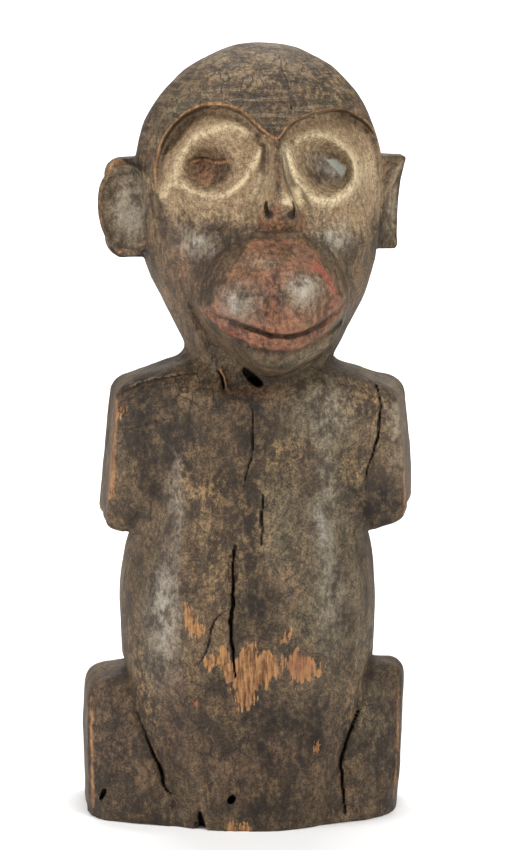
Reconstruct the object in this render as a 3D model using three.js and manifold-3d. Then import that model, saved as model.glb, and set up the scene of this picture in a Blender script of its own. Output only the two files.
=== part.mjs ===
// A carved wooden figure of a monkey, cut from one log: a round head with a sunken heart-shaped
// face, cupped ears and a swollen muzzle, a block for each pair of limb stubs, and an egg-shaped
// belly between them. The arms and legs are gone, and their stubs end in flat cuts. Everything is
// one solid. Millimetres, +Z up, the figure looks along -Y and stands on its flat underside.
import * as THREE from "three";
import { mergeVertices } from "three/addons/utils/BufferGeometryUtils.js";
import Module from "manifold-3d";

const wasm = await Module();
wasm.setup();

// Driving dimensions. Profiles are [height, value] stations.
const HEIGHT = 519.5;
const HEAD_TURN = THREE.MathUtils.degToRad(8); // the head looks a little to its own left
const WELL_OUTSIDE = 140; // half the size of a cutting block, past every side of the figure
const BURIED = 10; // how far the blocks run below the ground before the underside is cut flat

// Belly: an upright egg from the ground to the chest, wide and boxy in plan.
const BELLY = {
  top: 270,
  power: 2.6,
  centre: [[0, 0], [80, 1], [270, 1]],
  halfWidth: [[0, 67], [20, 71], [50, 77], [100, 84.5], [150, 87.5], [195, 81.5], [232, 70], [270, 54]],
  front: [[0, 76], [60, 80], [150, 84], [205, 79], [245, 68], [270, 58]],
  back: [[0, 60], [70, 62], [150, 57], [210, 54], [270, 50]],
};

// Hip block: the two leg stubs, one block with the log's own round front, leaning back towards its top.
const HIPS = {
  top: 116,
  power: 2.2,
  centre: [[0, -8]],
  halfWidth: [[0, 118]],
  front: [[0, 67], [50, 62], [90, 52], [116, 34]],
  back: [[0, 66], [50, 68], [80, 58], [96, 36], [112, 8]],
  outline: [[-110, -10], [103.5, -10], [109, 100, 14], [60, 107], [-60, 104], [-110, 94, 17]],
};

// Shoulder block: the two arm stubs and the chest, with sloping shoulders and rounded undersides.
const SHOULDERS = {
  bottom: 182,
  top: 322,
  power: 2.2,
  centre: [[0, 5]],
  halfWidth: [[0, 132]],
  front: [[182, 44], [200, 57], [225, 66], [250, 70], [280, 69], [300, 59], [322, 44]],
  back: [[182, 30], [205, 54], [250, 60], [278, 50], [298, 28], [322, 8]],
  outline: [
    [-99.5, 200, 10],
    [-60, 184],
    [60, 184],
    [108.5, 201, 14],
    [109.5, 245],
    [103, 291, 12],
    [44, 311],
    [-28, 314],
    [-86, 292, 12],
  ],
};

// How much each flat cut turns towards the front, in mm of width per mm of depth.
const LIMB_CUT_DRAFT = 0.09;

const NECK = {
  bottom: 262,
  top: 348,
  power: 2.2,
  centre: [[262, 6], [348, 9]],
  halfWidth: [[262, 58], [302, 52], [325, 47], [348, 45]],
  front: [[262, 50], [300, 59], [348, 57]],
  back: [[262, 50], [348, 58]],
};

// Head: its own frame has u across, v forward and z up, with the origin on the head's axis.
const HEAD = {
  axis: [8.7, -5],
  bottom: 305,
  widest: 435,
  power: 2.1,
  crownPower: 1.93,
  faceRings: 0.7, // share of the rings that lie below the widest height
  crowding: 0.35,
  halfWidth: [[305, 43], [330, 57], [353, 66.5], [375, 75], [400, 80], [435, 82]],
  front: [[305, 48], [325, 60], [350, 70], [376, 75], [400, 77], [435, 78]],
  back: [[305, 54], [350, 66], [390, 74], [435, 76]],
  centre: [[305, 2.5], [350, 2.5], [400, 0], [470, 0], [519, 4]],
};

// Face: two round lobes meeting in a V above the nose, sunk into the skull and leaning a little.
const FACE = {
  height: 442,
  lean: 0.055,
  lobeAcross: 35,
  lobeRadius: 39,
  sunk: 7.5,
  below: 0.4, // keeps the sunken face just under the cheeks where the two run together
  cutBottom: 392,
  fadeTop: 424,
  reliefBottom: 370,
  reliefTop: 489,
  reliefShare: 0.94, // of the head's half-width
  cutBack: 12,
};
const EYES = [
  { across: -38.5, up: 0.5, halfWidth: 17.5, halfHeight: 15.5, tilt: 0 },
  { across: 37.5, up: 0.5, halfWidth: 15.5, halfHeight: 18.5, tilt: 0.5 },
];
// The edge of the pit and the place of its rim are shares of the pit's half-widths.
const EYE_PIT = { depth: 9, edge: 0.85, steepness: 8 };
const EYE_RIM = { height: 2.4, place: 1.35, width: 0.3 };
const NOSE = {
  bottom: 401,
  top: 464,
  power: 3,
  centre: [[401, 1.5], [464, 0]],
  halfWidth: [[401, 16], [410, 14], [418, 9], [427, 5.5], [464, 4.5]],
  front: [[401, 83], [408, 88], [418, 89], [430, 81], [450, 75], [464, 73]],
  back: [[401, 0]],
};
const NOSTRIL = { across: 7, height: 410, forward: 83, radius: 2.7, length: 16, lean: 0.6, stretch: 1.3 };

// Muzzle: lips and chin swell forward as one form, parted by the mouth and cut away below.
const MUZZLE = {
  height: 352,
  halfWidth: 53,
  halfHeight: 51,
  chinHalfHeight: 62,
  chinTaper: 0.25,
  root: 52,
  reach: 57,
  sidePower: 2.1,
  risePower: 2.5,
  swellPower: 0.58,
  fall: 1.5, // how fast the muzzle's depth drops past its own edge
  blend: 18,
};
const MOUTH = { centre: -1, height: 336, rise: 16, halfWidth: 46.5, radius: 2.1 };
const LOWER_LIP = { drop: 7.5, half: 4.5, swell: 2.6 };
const CHIN = { height: 308, forward: 88, halfWidth: 60, rise: 44, power: 1.7, behind: 46, slope: 0.25 };

const EARS = [
  { side: -1, across: -87, forward: 4, turn: -24, roll: 0, power: 2, corner: 15 },
  { side: 1, across: 78, forward: -6, turn: 44, roll: 11, power: 3, corner: 7 },
];
const EAR = {
  height: 412.5,
  halfWidth: 19.5,
  halfHeight: 33.5,
  plate: 9,
  bevel: 2.5,
  rim: 3.2,
  cup: 6.5,
  rootThickness: 17,
  rootHalfHeight: 34,
  rootReach: 16,
};

// The value at z of a profile, with a smooth curve between its stations.
function along(stations, z) {
  const last = stations.length - 1;
  if (z <= stations[0][0]) return stations[0][1];
  if (z >= stations[last][0]) return stations[last][1];
  const k = stations.findIndex(([height]) => height > z) - 1;
  const slope = (i) => {
    const a = stations[Math.max(i - 1, 0)];
    const b = stations[Math.min(i + 1, last)];
    return (b[1] - a[1]) / (b[0] - a[0]);
  };
  const [z0, v0] = stations[k];
  const [z1, v1] = stations[k + 1];
  const span = z1 - z0;
  const t = (z - z0) / span;
  const between = (1 + 2 * t) * (1 - t) ** 2 * v0 + t * t * (3 - 2 * t) * v1;
  return between + span * (t * (1 - t) ** 2 * slope(k) - t * t * (1 - t) * slope(k + 1));
}

// The larger of two depths, with a soft crease of the given width where they cross.
function smoothMax(a, b, width) {
  const mix = THREE.MathUtils.clamp(0.5 + (a - b) / (2 * width), 0, 1);
  return b + (a - b) * mix + width * mix * (1 - mix);
}

function moveVertices(geometry, move) {
  const position = geometry.getAttribute("position");
  const point = new THREE.Vector3();
  for (let i = 0; i < position.count; i += 1) {
    move(point.fromBufferAttribute(position, i));
    position.setXYZ(i, point.x, point.y, point.z);
  }
  return geometry;
}

function solid(geometry) {
  const bare = geometry.clone();
  bare.deleteAttribute("normal");
  bare.deleteAttribute("uv");
  const merged = mergeVertices(bare, 1e-4);
  return new wasm.Manifold(
    new wasm.Mesh({
      numProp: 3,
      vertProperties: merged.getAttribute("position").array,
      triVerts: new Uint32Array(merged.index.array),
    }),
  );
}

function geometryOf(manifold) {
  const mesh = manifold.getMesh();
  const geometry = new THREE.BufferGeometry();
  geometry.setAttribute("position", new THREE.BufferAttribute(mesh.vertProperties, 3));
  geometry.setIndex(new THREE.BufferAttribute(mesh.triVerts, 1));
  geometry.computeVertexNormals();
  return geometry;
}

// A point on the unit superellipse, which is a circle at power 2 and squarer above it.
function superellipse(angle, power) {
  const round = (share) => Math.sign(share) * Math.abs(share) ** (2 / power);
  return [round(Math.cos(angle)), round(Math.sin(angle))];
}

// An upright loft of superellipse sections. section(z) gives each ring's shape and heightAt(t) its
// height, for t from 0 to 1. crowding above 0 draws a ring's corners closer together at the front.
function loft(section, heightAt, around, rings, crowding = 0) {
  const geometry = new THREE.CylinderGeometry(1, 1, 1, around, rings).rotateX(Math.PI / 2);
  return moveVertices(geometry, (p) => {
    const z = heightAt(p.z + 0.5);
    const { centre, halfWidth, front, back, power } = section(z);
    const reach = Math.hypot(p.x, p.y);
    const fromFront = Math.atan2(p.x, -p.y);
    const angle = fromFront - crowding * Math.sin(fromFront);
    const [forward, across] = superellipse(angle, power);
    p.set(centre + reach * across * halfWidth, -reach * forward * (forward > 0 ? front : back), z);
  });
}

function sectionOf(part) {
  return (z) => ({
    centre: along(part.centre, z),
    halfWidth: along(part.halfWidth, z),
    front: along(part.front, z),
    back: along(part.back, z),
    power: part.power,
  });
}

function plainLoft(part, bottom, around, rings) {
  const heightAt = (t) => bottom + t * (part.top - bottom);
  return solid(loft(sectionOf(part), heightAt, around, rings));
}

// A closed outline in x and z. A third number on a corner is the radius that rounds it.
function roundedOutline(corners) {
  const shape = new THREE.Shape();
  const points = corners.map(([x, z]) => new THREE.Vector2(x, z));
  points.forEach((corner, i) => {
    const radius = corners[i][2] ?? 0;
    const before = points[(i + points.length - 1) % points.length];
    const after = points[(i + 1) % points.length];
    const start = corner.clone().add(before.clone().sub(corner).setLength(radius));
    const end = corner.clone().add(after.clone().sub(corner).setLength(radius));
    if (i === 0) shape.moveTo(start.x, start.y);
    else shape.lineTo(start.x, start.y);
    if (radius > 0) shape.quadraticCurveTo(corner.x, corner.y, end.x, end.y);
  });
  shape.closePath();
  return shape;
}

// An outline in x and z carried from one depth forward to another.
function prism(shape, from, to, curveSegments) {
  const options = { depth: to - from, bevelEnabled: false, curveSegments };
  return new THREE.ExtrudeGeometry(shape, options).translate(0, 0, from).rotateX(Math.PI / 2);
}

// A pair of limb stubs: a log-shaped block trimmed to its front outline, with flat cuts at both ends.
function stubBlock(part, bottom, around, rings) {
  const outline = prism(roundedOutline(part.outline), -WELL_OUTSIDE, WELL_OUTSIDE, 4);
  moveVertices(outline, (p) => {
    p.x += Math.sign(p.x) * LIMB_CUT_DRAFT * p.y;
  });
  return plainLoft(part, bottom, around, rings).intersect(solid(outline));
}

function headSection(z) {
  const section = sectionOf(HEAD)(z);
  const up = Math.max(0, (z - HEAD.widest) / (HEIGHT - HEAD.widest));
  const crown = Math.max(0, 1 - up ** HEAD.crownPower) ** (1 / HEAD.crownPower);
  for (const side of ["halfWidth", "front", "back"]) section[side] *= crown;
  return section;
}

// How far forward the bare skull reaches at u across and z up.
function skullFront(u, z) {
  const { centre, halfWidth, front, power } = headSection(z);
  return front * Math.max(0, 1 - (Math.abs(u - centre) / halfWidth) ** power) ** (1 / power);
}

function mouthHeight(u) {
  return MOUTH.height + MOUTH.rise * ((u - MOUTH.centre) / MOUTH.halfWidth) ** 2;
}

// The skull with the swollen muzzle and lower lip on it.
function headFront(u, z) {
  const halfWidth = MUZZLE.halfWidth - MUZZLE.chinTaper * Math.max(0, MUZZLE.height - z);
  const side = (Math.abs(u) / halfWidth) ** MUZZLE.sidePower;
  const halfHeight = z > MUZZLE.height ? MUZZLE.halfHeight : MUZZLE.chinHalfHeight;
  const rise = (Math.abs(z - MUZZLE.height) / halfHeight) ** MUZZLE.risePower;
  const inside = 1 - side - rise;
  const swell = inside > 0 ? inside ** MUZZLE.swellPower : MUZZLE.fall * inside;
  const lip = LOWER_LIP.swell * Math.exp(-(((z - mouthHeight(u) + LOWER_LIP.drop) / LOWER_LIP.half) ** 2));
  const muzzle = MUZZLE.root + MUZZLE.reach * swell + lip;
  return smoothMax(skullFront(u, z), muzzle, MUZZLE.blend);
}

function headBlock() {
  const { faceRings, crowding } = HEAD;
  const heightAt = (t) => {
    if (t < faceRings) return HEAD.bottom + (t / faceRings) * (HEAD.widest - HEAD.bottom);
    const rise = Math.sin(((t - faceRings) / (1 - faceRings)) * (Math.PI / 2));
    return HEAD.widest + (HEIGHT - HEAD.widest) * rise;
  };
  const geometry = loft(headSection, heightAt, 52, 37, crowding);
  moveVertices(geometry, (p) => {
    const bare = skullFront(p.x, p.z);
    if (p.y < 0 && p.z < HEAD.widest && bare > 0) p.y *= headFront(p.x, p.z) / bare;
  });
  return solid(geometry);
}

// The sunken face's own surface: a ring and a pit for each eye, rising to meet the cheeks at its foot.
function faceFront(u, z) {
  const lean = z + FACE.lean * u;
  const sunk = FACE.sunk * THREE.MathUtils.smoothstep(lean, FACE.cutBottom - 4, FACE.fadeTop);
  const eye = EYES[u < 0 ? 0 : 1];
  const across = u - eye.across;
  const up = lean - FACE.height - eye.up;
  const x = (across * Math.cos(eye.tilt) - up * Math.sin(eye.tilt)) / eye.halfWidth;
  const y = (across * Math.sin(eye.tilt) + up * Math.cos(eye.tilt)) / eye.halfHeight;
  const away = Math.hypot(x, y);
  const ring = EYE_RIM.height * Math.exp(-(((away - EYE_RIM.place) / EYE_RIM.width) ** 2));
  const pit = EYE_PIT.depth / (1 + Math.exp((away - EYE_PIT.edge) * EYE_PIT.steepness));
  return headFront(u, z) - FACE.below - sunk + ring - pit;
}

// The heart-shaped plug that is cut away from the skull in front of the face.
function faceCut() {
  const { lobeAcross: c, lobeRadius: r, height, cutBottom, cutBack } = FACE;
  const toV = Math.acos(c / r);
  const shape = new THREE.Shape();
  shape.moveTo(-c - r, cutBottom - height);
  shape.lineTo(c + r, cutBottom - height);
  shape.absarc(c, 0, r, 0, Math.PI - toV, false);
  shape.absarc(-c, 0, r, toV, Math.PI, false);
  shape.closePath();
  const geometry = prism(shape, cutBack, WELL_OUTSIDE, 16);
  return solid(geometry.rotateY(Math.atan(FACE.lean)).translate(0, 0, height));
}

function faceRelief() {
  const { reliefBottom: bottom, reliefTop: top, reliefShare } = FACE;
  const geometry = new THREE.BoxGeometry(2, 1, top - bottom, 30, 1, 23);
  moveVertices(geometry, (p) => {
    const z = (top + bottom) / 2 + p.z;
    const u = p.x * reliefShare * headSection(z).halfWidth;
    p.set(u, p.y < 0 ? -faceFront(u, z) : 0, z);
  });
  return solid(geometry);
}

function nostrils() {
  return [-1, 1].map((side) => {
    const bore = new THREE.CylinderGeometry(NOSTRIL.radius, NOSTRIL.radius, NOSTRIL.length, 10);
    const across = along(NOSE.centre, NOSTRIL.height) + side * NOSTRIL.across;
    bore.scale(1, 1, NOSTRIL.stretch).rotateX(-NOSTRIL.lean);
    bore.translate(across, -NOSTRIL.forward, NOSTRIL.height);
    return solid(bore);
  });
}

// The parted lips: a round groove that follows the muzzle's surface from corner to corner.
function mouthGroove() {
  const points = [-1, -0.75, -0.5, -0.25, 0, 0.25, 0.5, 0.75, 1].map((s) => {
    const u = MOUTH.centre + s * MOUTH.halfWidth;
    const z = mouthHeight(u);
    return new THREE.Vector3(u, -headFront(u, z), z);
  });
  const section = new THREE.Shape().absellipse(0, 0, MOUTH.radius, MOUTH.radius, 0, 2 * Math.PI);
  const extrudePath = new THREE.CatmullRomCurve3(points);
  return solid(new THREE.ExtrudeGeometry(section, { extrudePath, steps: 24, curveSegments: 4 }));
}

// What is cut away under the chin, in front of the neck.
function underChin() {
  const shape = new THREE.Shape();
  const steps = 8;
  shape.moveTo(-CHIN.halfWidth, HEAD.bottom - BURIED);
  for (let i = -steps; i <= steps; i += 1) {
    const share = i / steps;
    shape.lineTo(share * CHIN.halfWidth, CHIN.height + CHIN.rise * Math.abs(share) ** CHIN.power);
  }
  shape.lineTo(CHIN.halfWidth, HEAD.bottom - BURIED);
  shape.closePath();
  const cut = prism(shape, CHIN.behind, WELL_OUTSIDE, 1);
  return solid(moveVertices(cut, (p) => {
    p.z -= CHIN.slope * (CHIN.forward + p.y);
  }));
}

// One ear: a block that roots it in the head, and in front of it an oval plate hollowed out to a rim.
function ear({ side, across, forward, turn, roll, power, corner }) {
  const sides = 24;
  const plateOutline = new THREE.Shape(
    Array.from({ length: sides }, (_, i) => {
      const [x, z] = superellipse((2 * Math.PI * i) / sides, power);
      return new THREE.Vector2(x * (EAR.halfWidth - EAR.bevel), z * (EAR.halfHeight - EAR.bevel));
    }),
  );
  const plate = new THREE.ExtrudeGeometry(plateOutline, {
    depth: EAR.plate,
    bevelThickness: EAR.bevel,
    bevelSize: EAR.bevel,
    bevelSegments: 1,
  });
  plate.rotateX(Math.PI / 2);
  const cup = new THREE.SphereGeometry(1, 22, 12);
  cup.scale(EAR.halfWidth - EAR.rim, EAR.cup, EAR.halfHeight - EAR.rim);
  cup.translate(0, -EAR.plate - EAR.bevel, 0);
  const h = EAR.rootHalfHeight;
  const inner = -side * 2 * EAR.rootReach;
  const outer = side * EAR.rootReach;
  const rootCorners = [[inner, -h], [outer, -h, corner], [outer, h, corner], [inner, h]];
  const rootOutline = roundedOutline(side > 0 ? rootCorners : rootCorners.reverse());
  const root = prism(rootOutline, -EAR.rootThickness, 0.5, 4);
  const place = new THREE.Matrix4().makeTranslation(across, -forward, EAR.height);
  place.multiply(new THREE.Matrix4().makeRotationZ(THREE.MathUtils.degToRad(turn)));
  place.multiply(new THREE.Matrix4().makeRotationY(THREE.MathUtils.degToRad(roll)));
  const [plateSolid, rootSolid, cupSolid] = [plate, root, cup].map((g) => solid(g.applyMatrix4(place)));
  return { block: plateSolid.add(rootSolid), cup: cupSolid };
}

function head() {
  const ears = EARS.map(ear);
  const nose = plainLoft(NOSE, NOSE.bottom, 18, 10);
  let made = headBlock().subtract(faceCut()).add(faceRelief()).add(nose);
  for (const { block } of ears) made = made.add(block);
  for (const { cup } of ears) made = made.subtract(cup);
  for (const bore of nostrils()) made = made.subtract(bore);
  made = made.subtract(mouthGroove()).subtract(underChin());
  const place = new THREE.Matrix4().makeTranslation(HEAD.axis[0], HEAD.axis[1], 0);
  place.multiply(new THREE.Matrix4().makeRotationZ(HEAD_TURN));
  return solid(geometryOf(made).applyMatrix4(place));
}

function figureSolid() {
  const ground = new THREE.BoxGeometry(4 * WELL_OUTSIDE, 4 * WELL_OUTSIDE, 4 * BURIED);
  ground.translate(0, 0, -2 * BURIED);
  return plainLoft(BELLY, -BURIED, 36, 14)
    .add(stubBlock(HIPS, -BURIED, 36, 7))
    .add(stubBlock(SHOULDERS, SHOULDERS.bottom, 36, 10))
    .add(plainLoft(NECK, NECK.bottom, 24, 3))
    .add(head())
    .subtract(solid(ground));
}

const wood = new THREE.MeshStandardMaterial({ color: 0x5c4f40, roughness: 0.6, metalness: 0 });
wood.name = "patinated_wood";

const geometry = geometryOf(figureSolid());
geometry.computeBoundingBox();
const middle = geometry.boundingBox.getCenter(new THREE.Vector3());

const figure = new THREE.Mesh(geometry, wood);
figure.name = "monkey_figure";
figure.position.set(-middle.x, -middle.y, 0);

const part = new THREE.Group();
part.add(figure);

export default part;
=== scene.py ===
import math
import time
from concurrent.futures import ThreadPoolExecutor

import bpy
import numpy as np
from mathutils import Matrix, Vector


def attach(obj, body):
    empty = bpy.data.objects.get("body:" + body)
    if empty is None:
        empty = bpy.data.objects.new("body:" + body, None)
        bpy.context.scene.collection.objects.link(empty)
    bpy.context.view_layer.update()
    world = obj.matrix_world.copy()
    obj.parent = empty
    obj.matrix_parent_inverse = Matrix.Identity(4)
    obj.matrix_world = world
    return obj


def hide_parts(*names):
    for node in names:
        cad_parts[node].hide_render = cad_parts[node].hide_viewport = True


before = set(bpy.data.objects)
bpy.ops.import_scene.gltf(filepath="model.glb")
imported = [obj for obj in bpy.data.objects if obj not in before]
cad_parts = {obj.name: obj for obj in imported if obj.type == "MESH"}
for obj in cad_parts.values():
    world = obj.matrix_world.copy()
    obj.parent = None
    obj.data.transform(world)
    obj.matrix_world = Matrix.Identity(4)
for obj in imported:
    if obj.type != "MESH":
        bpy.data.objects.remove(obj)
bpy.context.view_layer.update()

SEED = 7
CELL = 0.95  # spacing of the grid that the field is meshed on
BLOCK = 6  # grid cells along a block's side
TRIANGLES = 192000
MODEL_TO_FRAME = (0.12, 21.07, 0.0)  # millimetres

# The photograph's camera, about the model's axes.
TARGET = (6.0, 0.0, 262.0)
DISTANCE = 2200.0
ELEVATION = math.radians(8.5)
FOCAL_PIXELS = 3255.0
PICTURE = (510, 850)
PER_PIXEL = 2  # cells of a picture map along one pixel
LONG_SENSOR = 36.0

# Profiles are (height, value) stations, as in the CAD part.
HEIGHT = 519.5
BELLY = {
    "top": 280,
    "power": 2.6,
    "centre": [(0, 0), (80, 1), (150, 1), (190, 2), (270, 1)],
    "half": [(0, 67), (20, 71), (50, 77), (100, 84.5), (145, 87), (172, 84.5), (195, 79.5), (232, 69), (270, 54)],
    "front": [(0, 76), (60, 80), (150, 84), (205, 79), (245, 68), (270, 58)],
    "back": [(0, 60), (70, 62), (150, 57), (210, 54), (270, 50)],
}
HIPS = {
    "power": 2.2,
    "shoulder_line": 98,
    "centre": [(0, -8), (1, -8)],
    "half": [(0, 118), (1, 118)],
    "front": [(0, 67), (50, 62), (90, 52), (116, 34)],
    "back": [(0, 66), (50, 68), (80, 58), (96, 36), (112, 8)],
    "outline": [(-110, -10), (103.5, -10), (109, 99, 13), (60, 106), (-60, 104), (-110, 90.5, 12)],
}
SHOULDERS = {
    "power": 2.2,
    "shoulder_line": 292,
    "centre": [(0, 5), (1, 5)],
    "half": [(0, 132), (1, 132)],
    "front": [(182, 44), (200, 57), (225, 66), (250, 70), (280, 69), (300, 59), (322, 44)],
    "back": [(182, 30), (205, 54), (250, 60), (278, 50), (298, 28), (322, 8)],
    "outline": [
        (-98, 198, 7),
        (-60, 188.5),
        (60, 187.5),
        (110.5, 205, 8),
        (109.5, 245),
        (104.5, 291, 11),
        (44, 312),
        (-28, 316),
        (-89, 293.5, 9),
    ],
}
LIMB_CUT_DRAFT = 0.09
NECK = {
    "bottom": 262,
    "top": 352,
    "power": 2.2,
    "centre": [(262, 6), (348, 9)],
    "half": [(262, 58), (302, 52), (325, 47), (348, 45)],
    "front": [(262, 50), (300, 59), (348, 57)],
    "back": [(262, 50), (348, 58)],
}
HEAD = {
    "axis": (8.7, -5.0),
    "turn": math.radians(8),
    "bottom": 305,
    "widest": 435,
    "power": 2.1,
    "crown": 2.0,
    "centre": [(305, 1.5), (330, 0.8), (350, 1.6), (375, 0.2), (400, 0), (470, -0.5), (519, 2.5)],
    "half": [(305, 43), (330, 56.5), (350, 67.5), (375, 77), (400, 80.5), (435, 82)],
    "front": [(305, 48), (325, 60), (350, 70), (376, 75), (400, 77), (435, 78)],
    "back": [(305, 54), (350, 66), (390, 74), (435, 76)],
}
NOSE = {
    "bottom": 396,
    "top": 470,
    "power": 3.0,
    "centre": [(399, 2.0), (430, 1.0), (464, 0)],
    "half": [(397, 23), (403, 22.5), (409, 21), (415, 18), (421, 14.5), (430, 10), (440, 7.5), (464, 6)],
    "front": [(397, 78), (402, 84.5), (408, 90), (414, 93), (420, 93), (430, 88), (450, 80), (470, 72)],
}
NOSTRIL = {
    "middle": 1.2,
    "across": 7.7,
    "height": 410,
    "bowl_forward": 92.5,
    "bowl": 4.6,
    "hole_height": 413,
    "hole_forward": 88,
    "hole": 2.2,
    "length": 6,
    "lean": 0.5,
}
MUZZLE = {
    "height": 352,
    "half": 53,
    "half_height": 51,
    "chin_half_height": 62,
    "chin_taper": 0.25,
    "root": 52,
    "reach": 57,
    "side_power": 2.1,
    "rise_power": 2.5,
    "swell_power": 0.58,
    "fall": 1.5,
}
CHIN = {"height": 310.5, "forward": 88, "half": 60, "rise": 45, "left_rise": 64, "power": 1.7, "behind": 46, "slope": 0.25}
EARS = [
    {
        "side": -1,
        "across": -87,
        "forward": 4,
        "height": 409,
        "turn": -24,
        "roll": -9,
        "half": 19.5,
        "power": 2.1,
        "cup_half": 16.5,
        "open": 9,
        "root_height": 410.4,
        "root_half": 33.3,
        "root_out": 15.5,
        "root_front": 1.0,
        "lean": 0.0,
        "corner": 12,
    },
    {
        "side": 1,
        "across": 90,
        "forward": 0,
        "height": 412.6,
        "root_height": 412.4,
        "root_half": 31.5,
        "root_out": 6.6,
        "root_front": -4.0,
        "lean": 0.10,
        "corner": 3,
        "scoop_middle": (104.5, 14),
        "scoop_half": (22, 24, 33),
        "scoop_roll": 5,
    },
]
EAR = {
    "half_height": 30.5,
    "plate": 9,
    "bevel": 2.0,
    "end_rim": 5.0,
    "cup": 6.5,
    "root_back": 20.0,
}

# Outlines, cracks and marks on the front, as (x, y) pixels of the photograph.
FACE_OUTLINE = [
    (277, 139), (262, 130), (246, 115), (230, 107), (211, 104), (192, 110), (176, 122), (166, 136),
    (159, 153), (156, 172), (157, 190), (161, 207), (167, 228), (178, 250), (215, 264), (280, 266),
    (340, 262), (366, 250), (378, 228), (384, 200), (384, 165), (381, 148), (376, 136), (367, 124),
    (353, 114), (336, 109), (317, 112), (299, 119), (288, 127),
]
LEFT_RING = [(163, 196), (176, 174), (182, 155), (195, 138), (217, 128), (236, 126), (252, 134)]
LEFT_UNDER_RING = [(178, 184), (197, 193), (222, 196), (241, 184), (253, 166), (260, 150)]
RIGHT_RING = [(285, 147), (292, 168), (300, 184), (313, 198), (331, 200), (348, 188), (356, 172), (350, 152), (331, 138), (312, 135), (296, 140)]
LEFT_GASH = [(190, 163), (203, 160), (216, 162), (230, 160)]
LEFT_BAG = [(184, 213), (190, 222), (199, 229), (211, 232), (223, 231), (235, 224)]
NOSE_CREASES = [[(266, 186), (259, 202), (254, 218), (256, 232)], [(300, 190), (306, 206), (309, 220), (307, 232)]]
NOSE_BASE = [(265, 207), (277, 203), (296, 208), (305, 217), (306, 230), (282, 233), (256, 231), (259, 217)]
MUZZLE_TOP = [(216, 282), (226, 268), (238, 249), (252, 237), (273, 233), (295, 233), (311, 240), (324, 256), (333, 272), (343, 292)]
CREST = [(224, 286), (236, 278), (262, 277), (293, 273), (312, 277), (326, 285)]
LIP_SLIT = [(201, 309), (214, 315), (230, 321), (255, 330), (275, 336), (297, 335), (320, 325), (338, 309), (350, 294)]
LOWER_LIP = [(207, 322), (225, 334), (250, 347), (272, 352), (290, 352), (308, 347), (324, 336), (341, 322)]
LIP_BAND = [(203, 313), (222, 325), (245, 335), (268, 344), (288, 346), (308, 341), (325, 330)]
CHIN_EDGE = [(207, 326), (229, 345), (243, 357), (264, 371), (280, 375), (295, 375), (312, 367), (331, 350), (343, 330)]
MUZZLE_SKIN = [
    (226, 268), (240, 246), (252, 236), (273, 233), (295, 233), (309, 239), (324, 257), (336, 276),
    (346, 300), (336, 322), (322, 337), (302, 351), (284, 354), (252, 347), (225, 332), (203, 316),
    (212, 296),
]


def smoothstep(low, high, value):
    t = np.clip((value - low) / (high - low), 0, 1)
    return t * t * (3 - 2 * t)


def smooth_max(a, b, width):
    near = np.maximum(width - np.abs(a - b), 0)
    return np.maximum(a, b) + 0.25 * near * near / width


def smooth_min(a, b, width):
    near = np.maximum(width - np.abs(a - b), 0)
    return np.minimum(a, b) - 0.25 * near * near / width


def curve(stations):
    """A smooth curve through stations, as a function of an array."""
    place, value = np.array(stations, float).T
    last = len(place) - 1
    fine = np.arange(place[0], place[-1] + 1.0, 1.0)
    k = np.clip(np.searchsorted(place, fine, side="right") - 1, 0, last - 1)
    before = np.maximum(np.arange(last + 1) - 1, 0)
    after = np.minimum(np.arange(last + 1) + 1, last)
    slope = (value[after] - value[before]) / (place[after] - place[before])
    span = place[k + 1] - place[k]
    t = np.clip((fine - place[k]) / span, 0, 1)
    made = (1 + 2 * t) * (1 - t) ** 2 * value[k] + t * t * (3 - 2 * t) * value[k + 1]
    made += span * (t * (1 - t) ** 2 * slope[k] - t * t * (1 - t) * slope[k + 1])
    return lambda q: np.interp(q, fine, made).astype(np.float32)


def smooth_path(points, step=2.0, closed=False):
    """Points along a Catmull-Rom curve through the given points."""
    p = np.array(points, float)
    if closed:
        p = np.vstack([p[-1:], p, p[:2]])
    else:
        p = np.vstack([2 * p[0] - p[1], p, 2 * p[-1] - p[-2]])
    made = []
    for a, b, c, d in zip(p[:-3], p[1:-2], p[2:-1], p[3:]):
        count = max(2, int(np.hypot(*(c - b)) / step))
        t = (np.arange(count) / count)[:, None]
        made.append(
            0.5 * (2 * b + (c - a) * t + (2 * a - 5 * b + 4 * c - d) * t * t + (3 * b - a - 3 * c + d) * t**3)
        )
    if not closed:
        made.append(p[-2:-1])
    return np.vstack(made)


# The photograph's picture plane
def to_picture(x, y, z):
    """Where a model point appears in the photograph, in pixels."""
    cos_e, sin_e = math.cos(ELEVATION), math.sin(ELEVATION)
    away = y - TARGET[1]
    rise = z - TARGET[2]
    scale = FOCAL_PIXELS / (DISTANCE + away * cos_e - rise * sin_e)
    return PICTURE[0] / 2 + (x - TARGET[0]) * scale, PICTURE[1] / 2 - (away * sin_e + rise * cos_e) * scale


COLUMNS = PICTURE[0] * PER_PIXEL + 1
ROWS = PICTURE[1] * PER_PIXEL + 1
MAP_X, MAP_Y = np.meshgrid(
    np.arange(COLUMNS, dtype=np.float32) / PER_PIXEL, np.arange(ROWS, dtype=np.float32) / PER_PIXEL
)


def lookup(table, px, py):
    """Values of a picture map at pixel places, blended between its cells."""
    across = np.clip(px * PER_PIXEL, 0, COLUMNS - 1.01)
    down = np.clip(py * PER_PIXEL, 0, ROWS - 1.01)
    i, j = across.astype(np.int32), down.astype(np.int32)
    f, g = across - i, down - j
    flat = table.ravel()
    at = j * COLUMNS + i
    top = flat[at] * (1 - f) + flat[at + 1] * f
    bottom = flat[at + COLUMNS] * (1 - f) + flat[at + COLUMNS + 1] * f
    return top * (1 - g) + bottom * g


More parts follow.
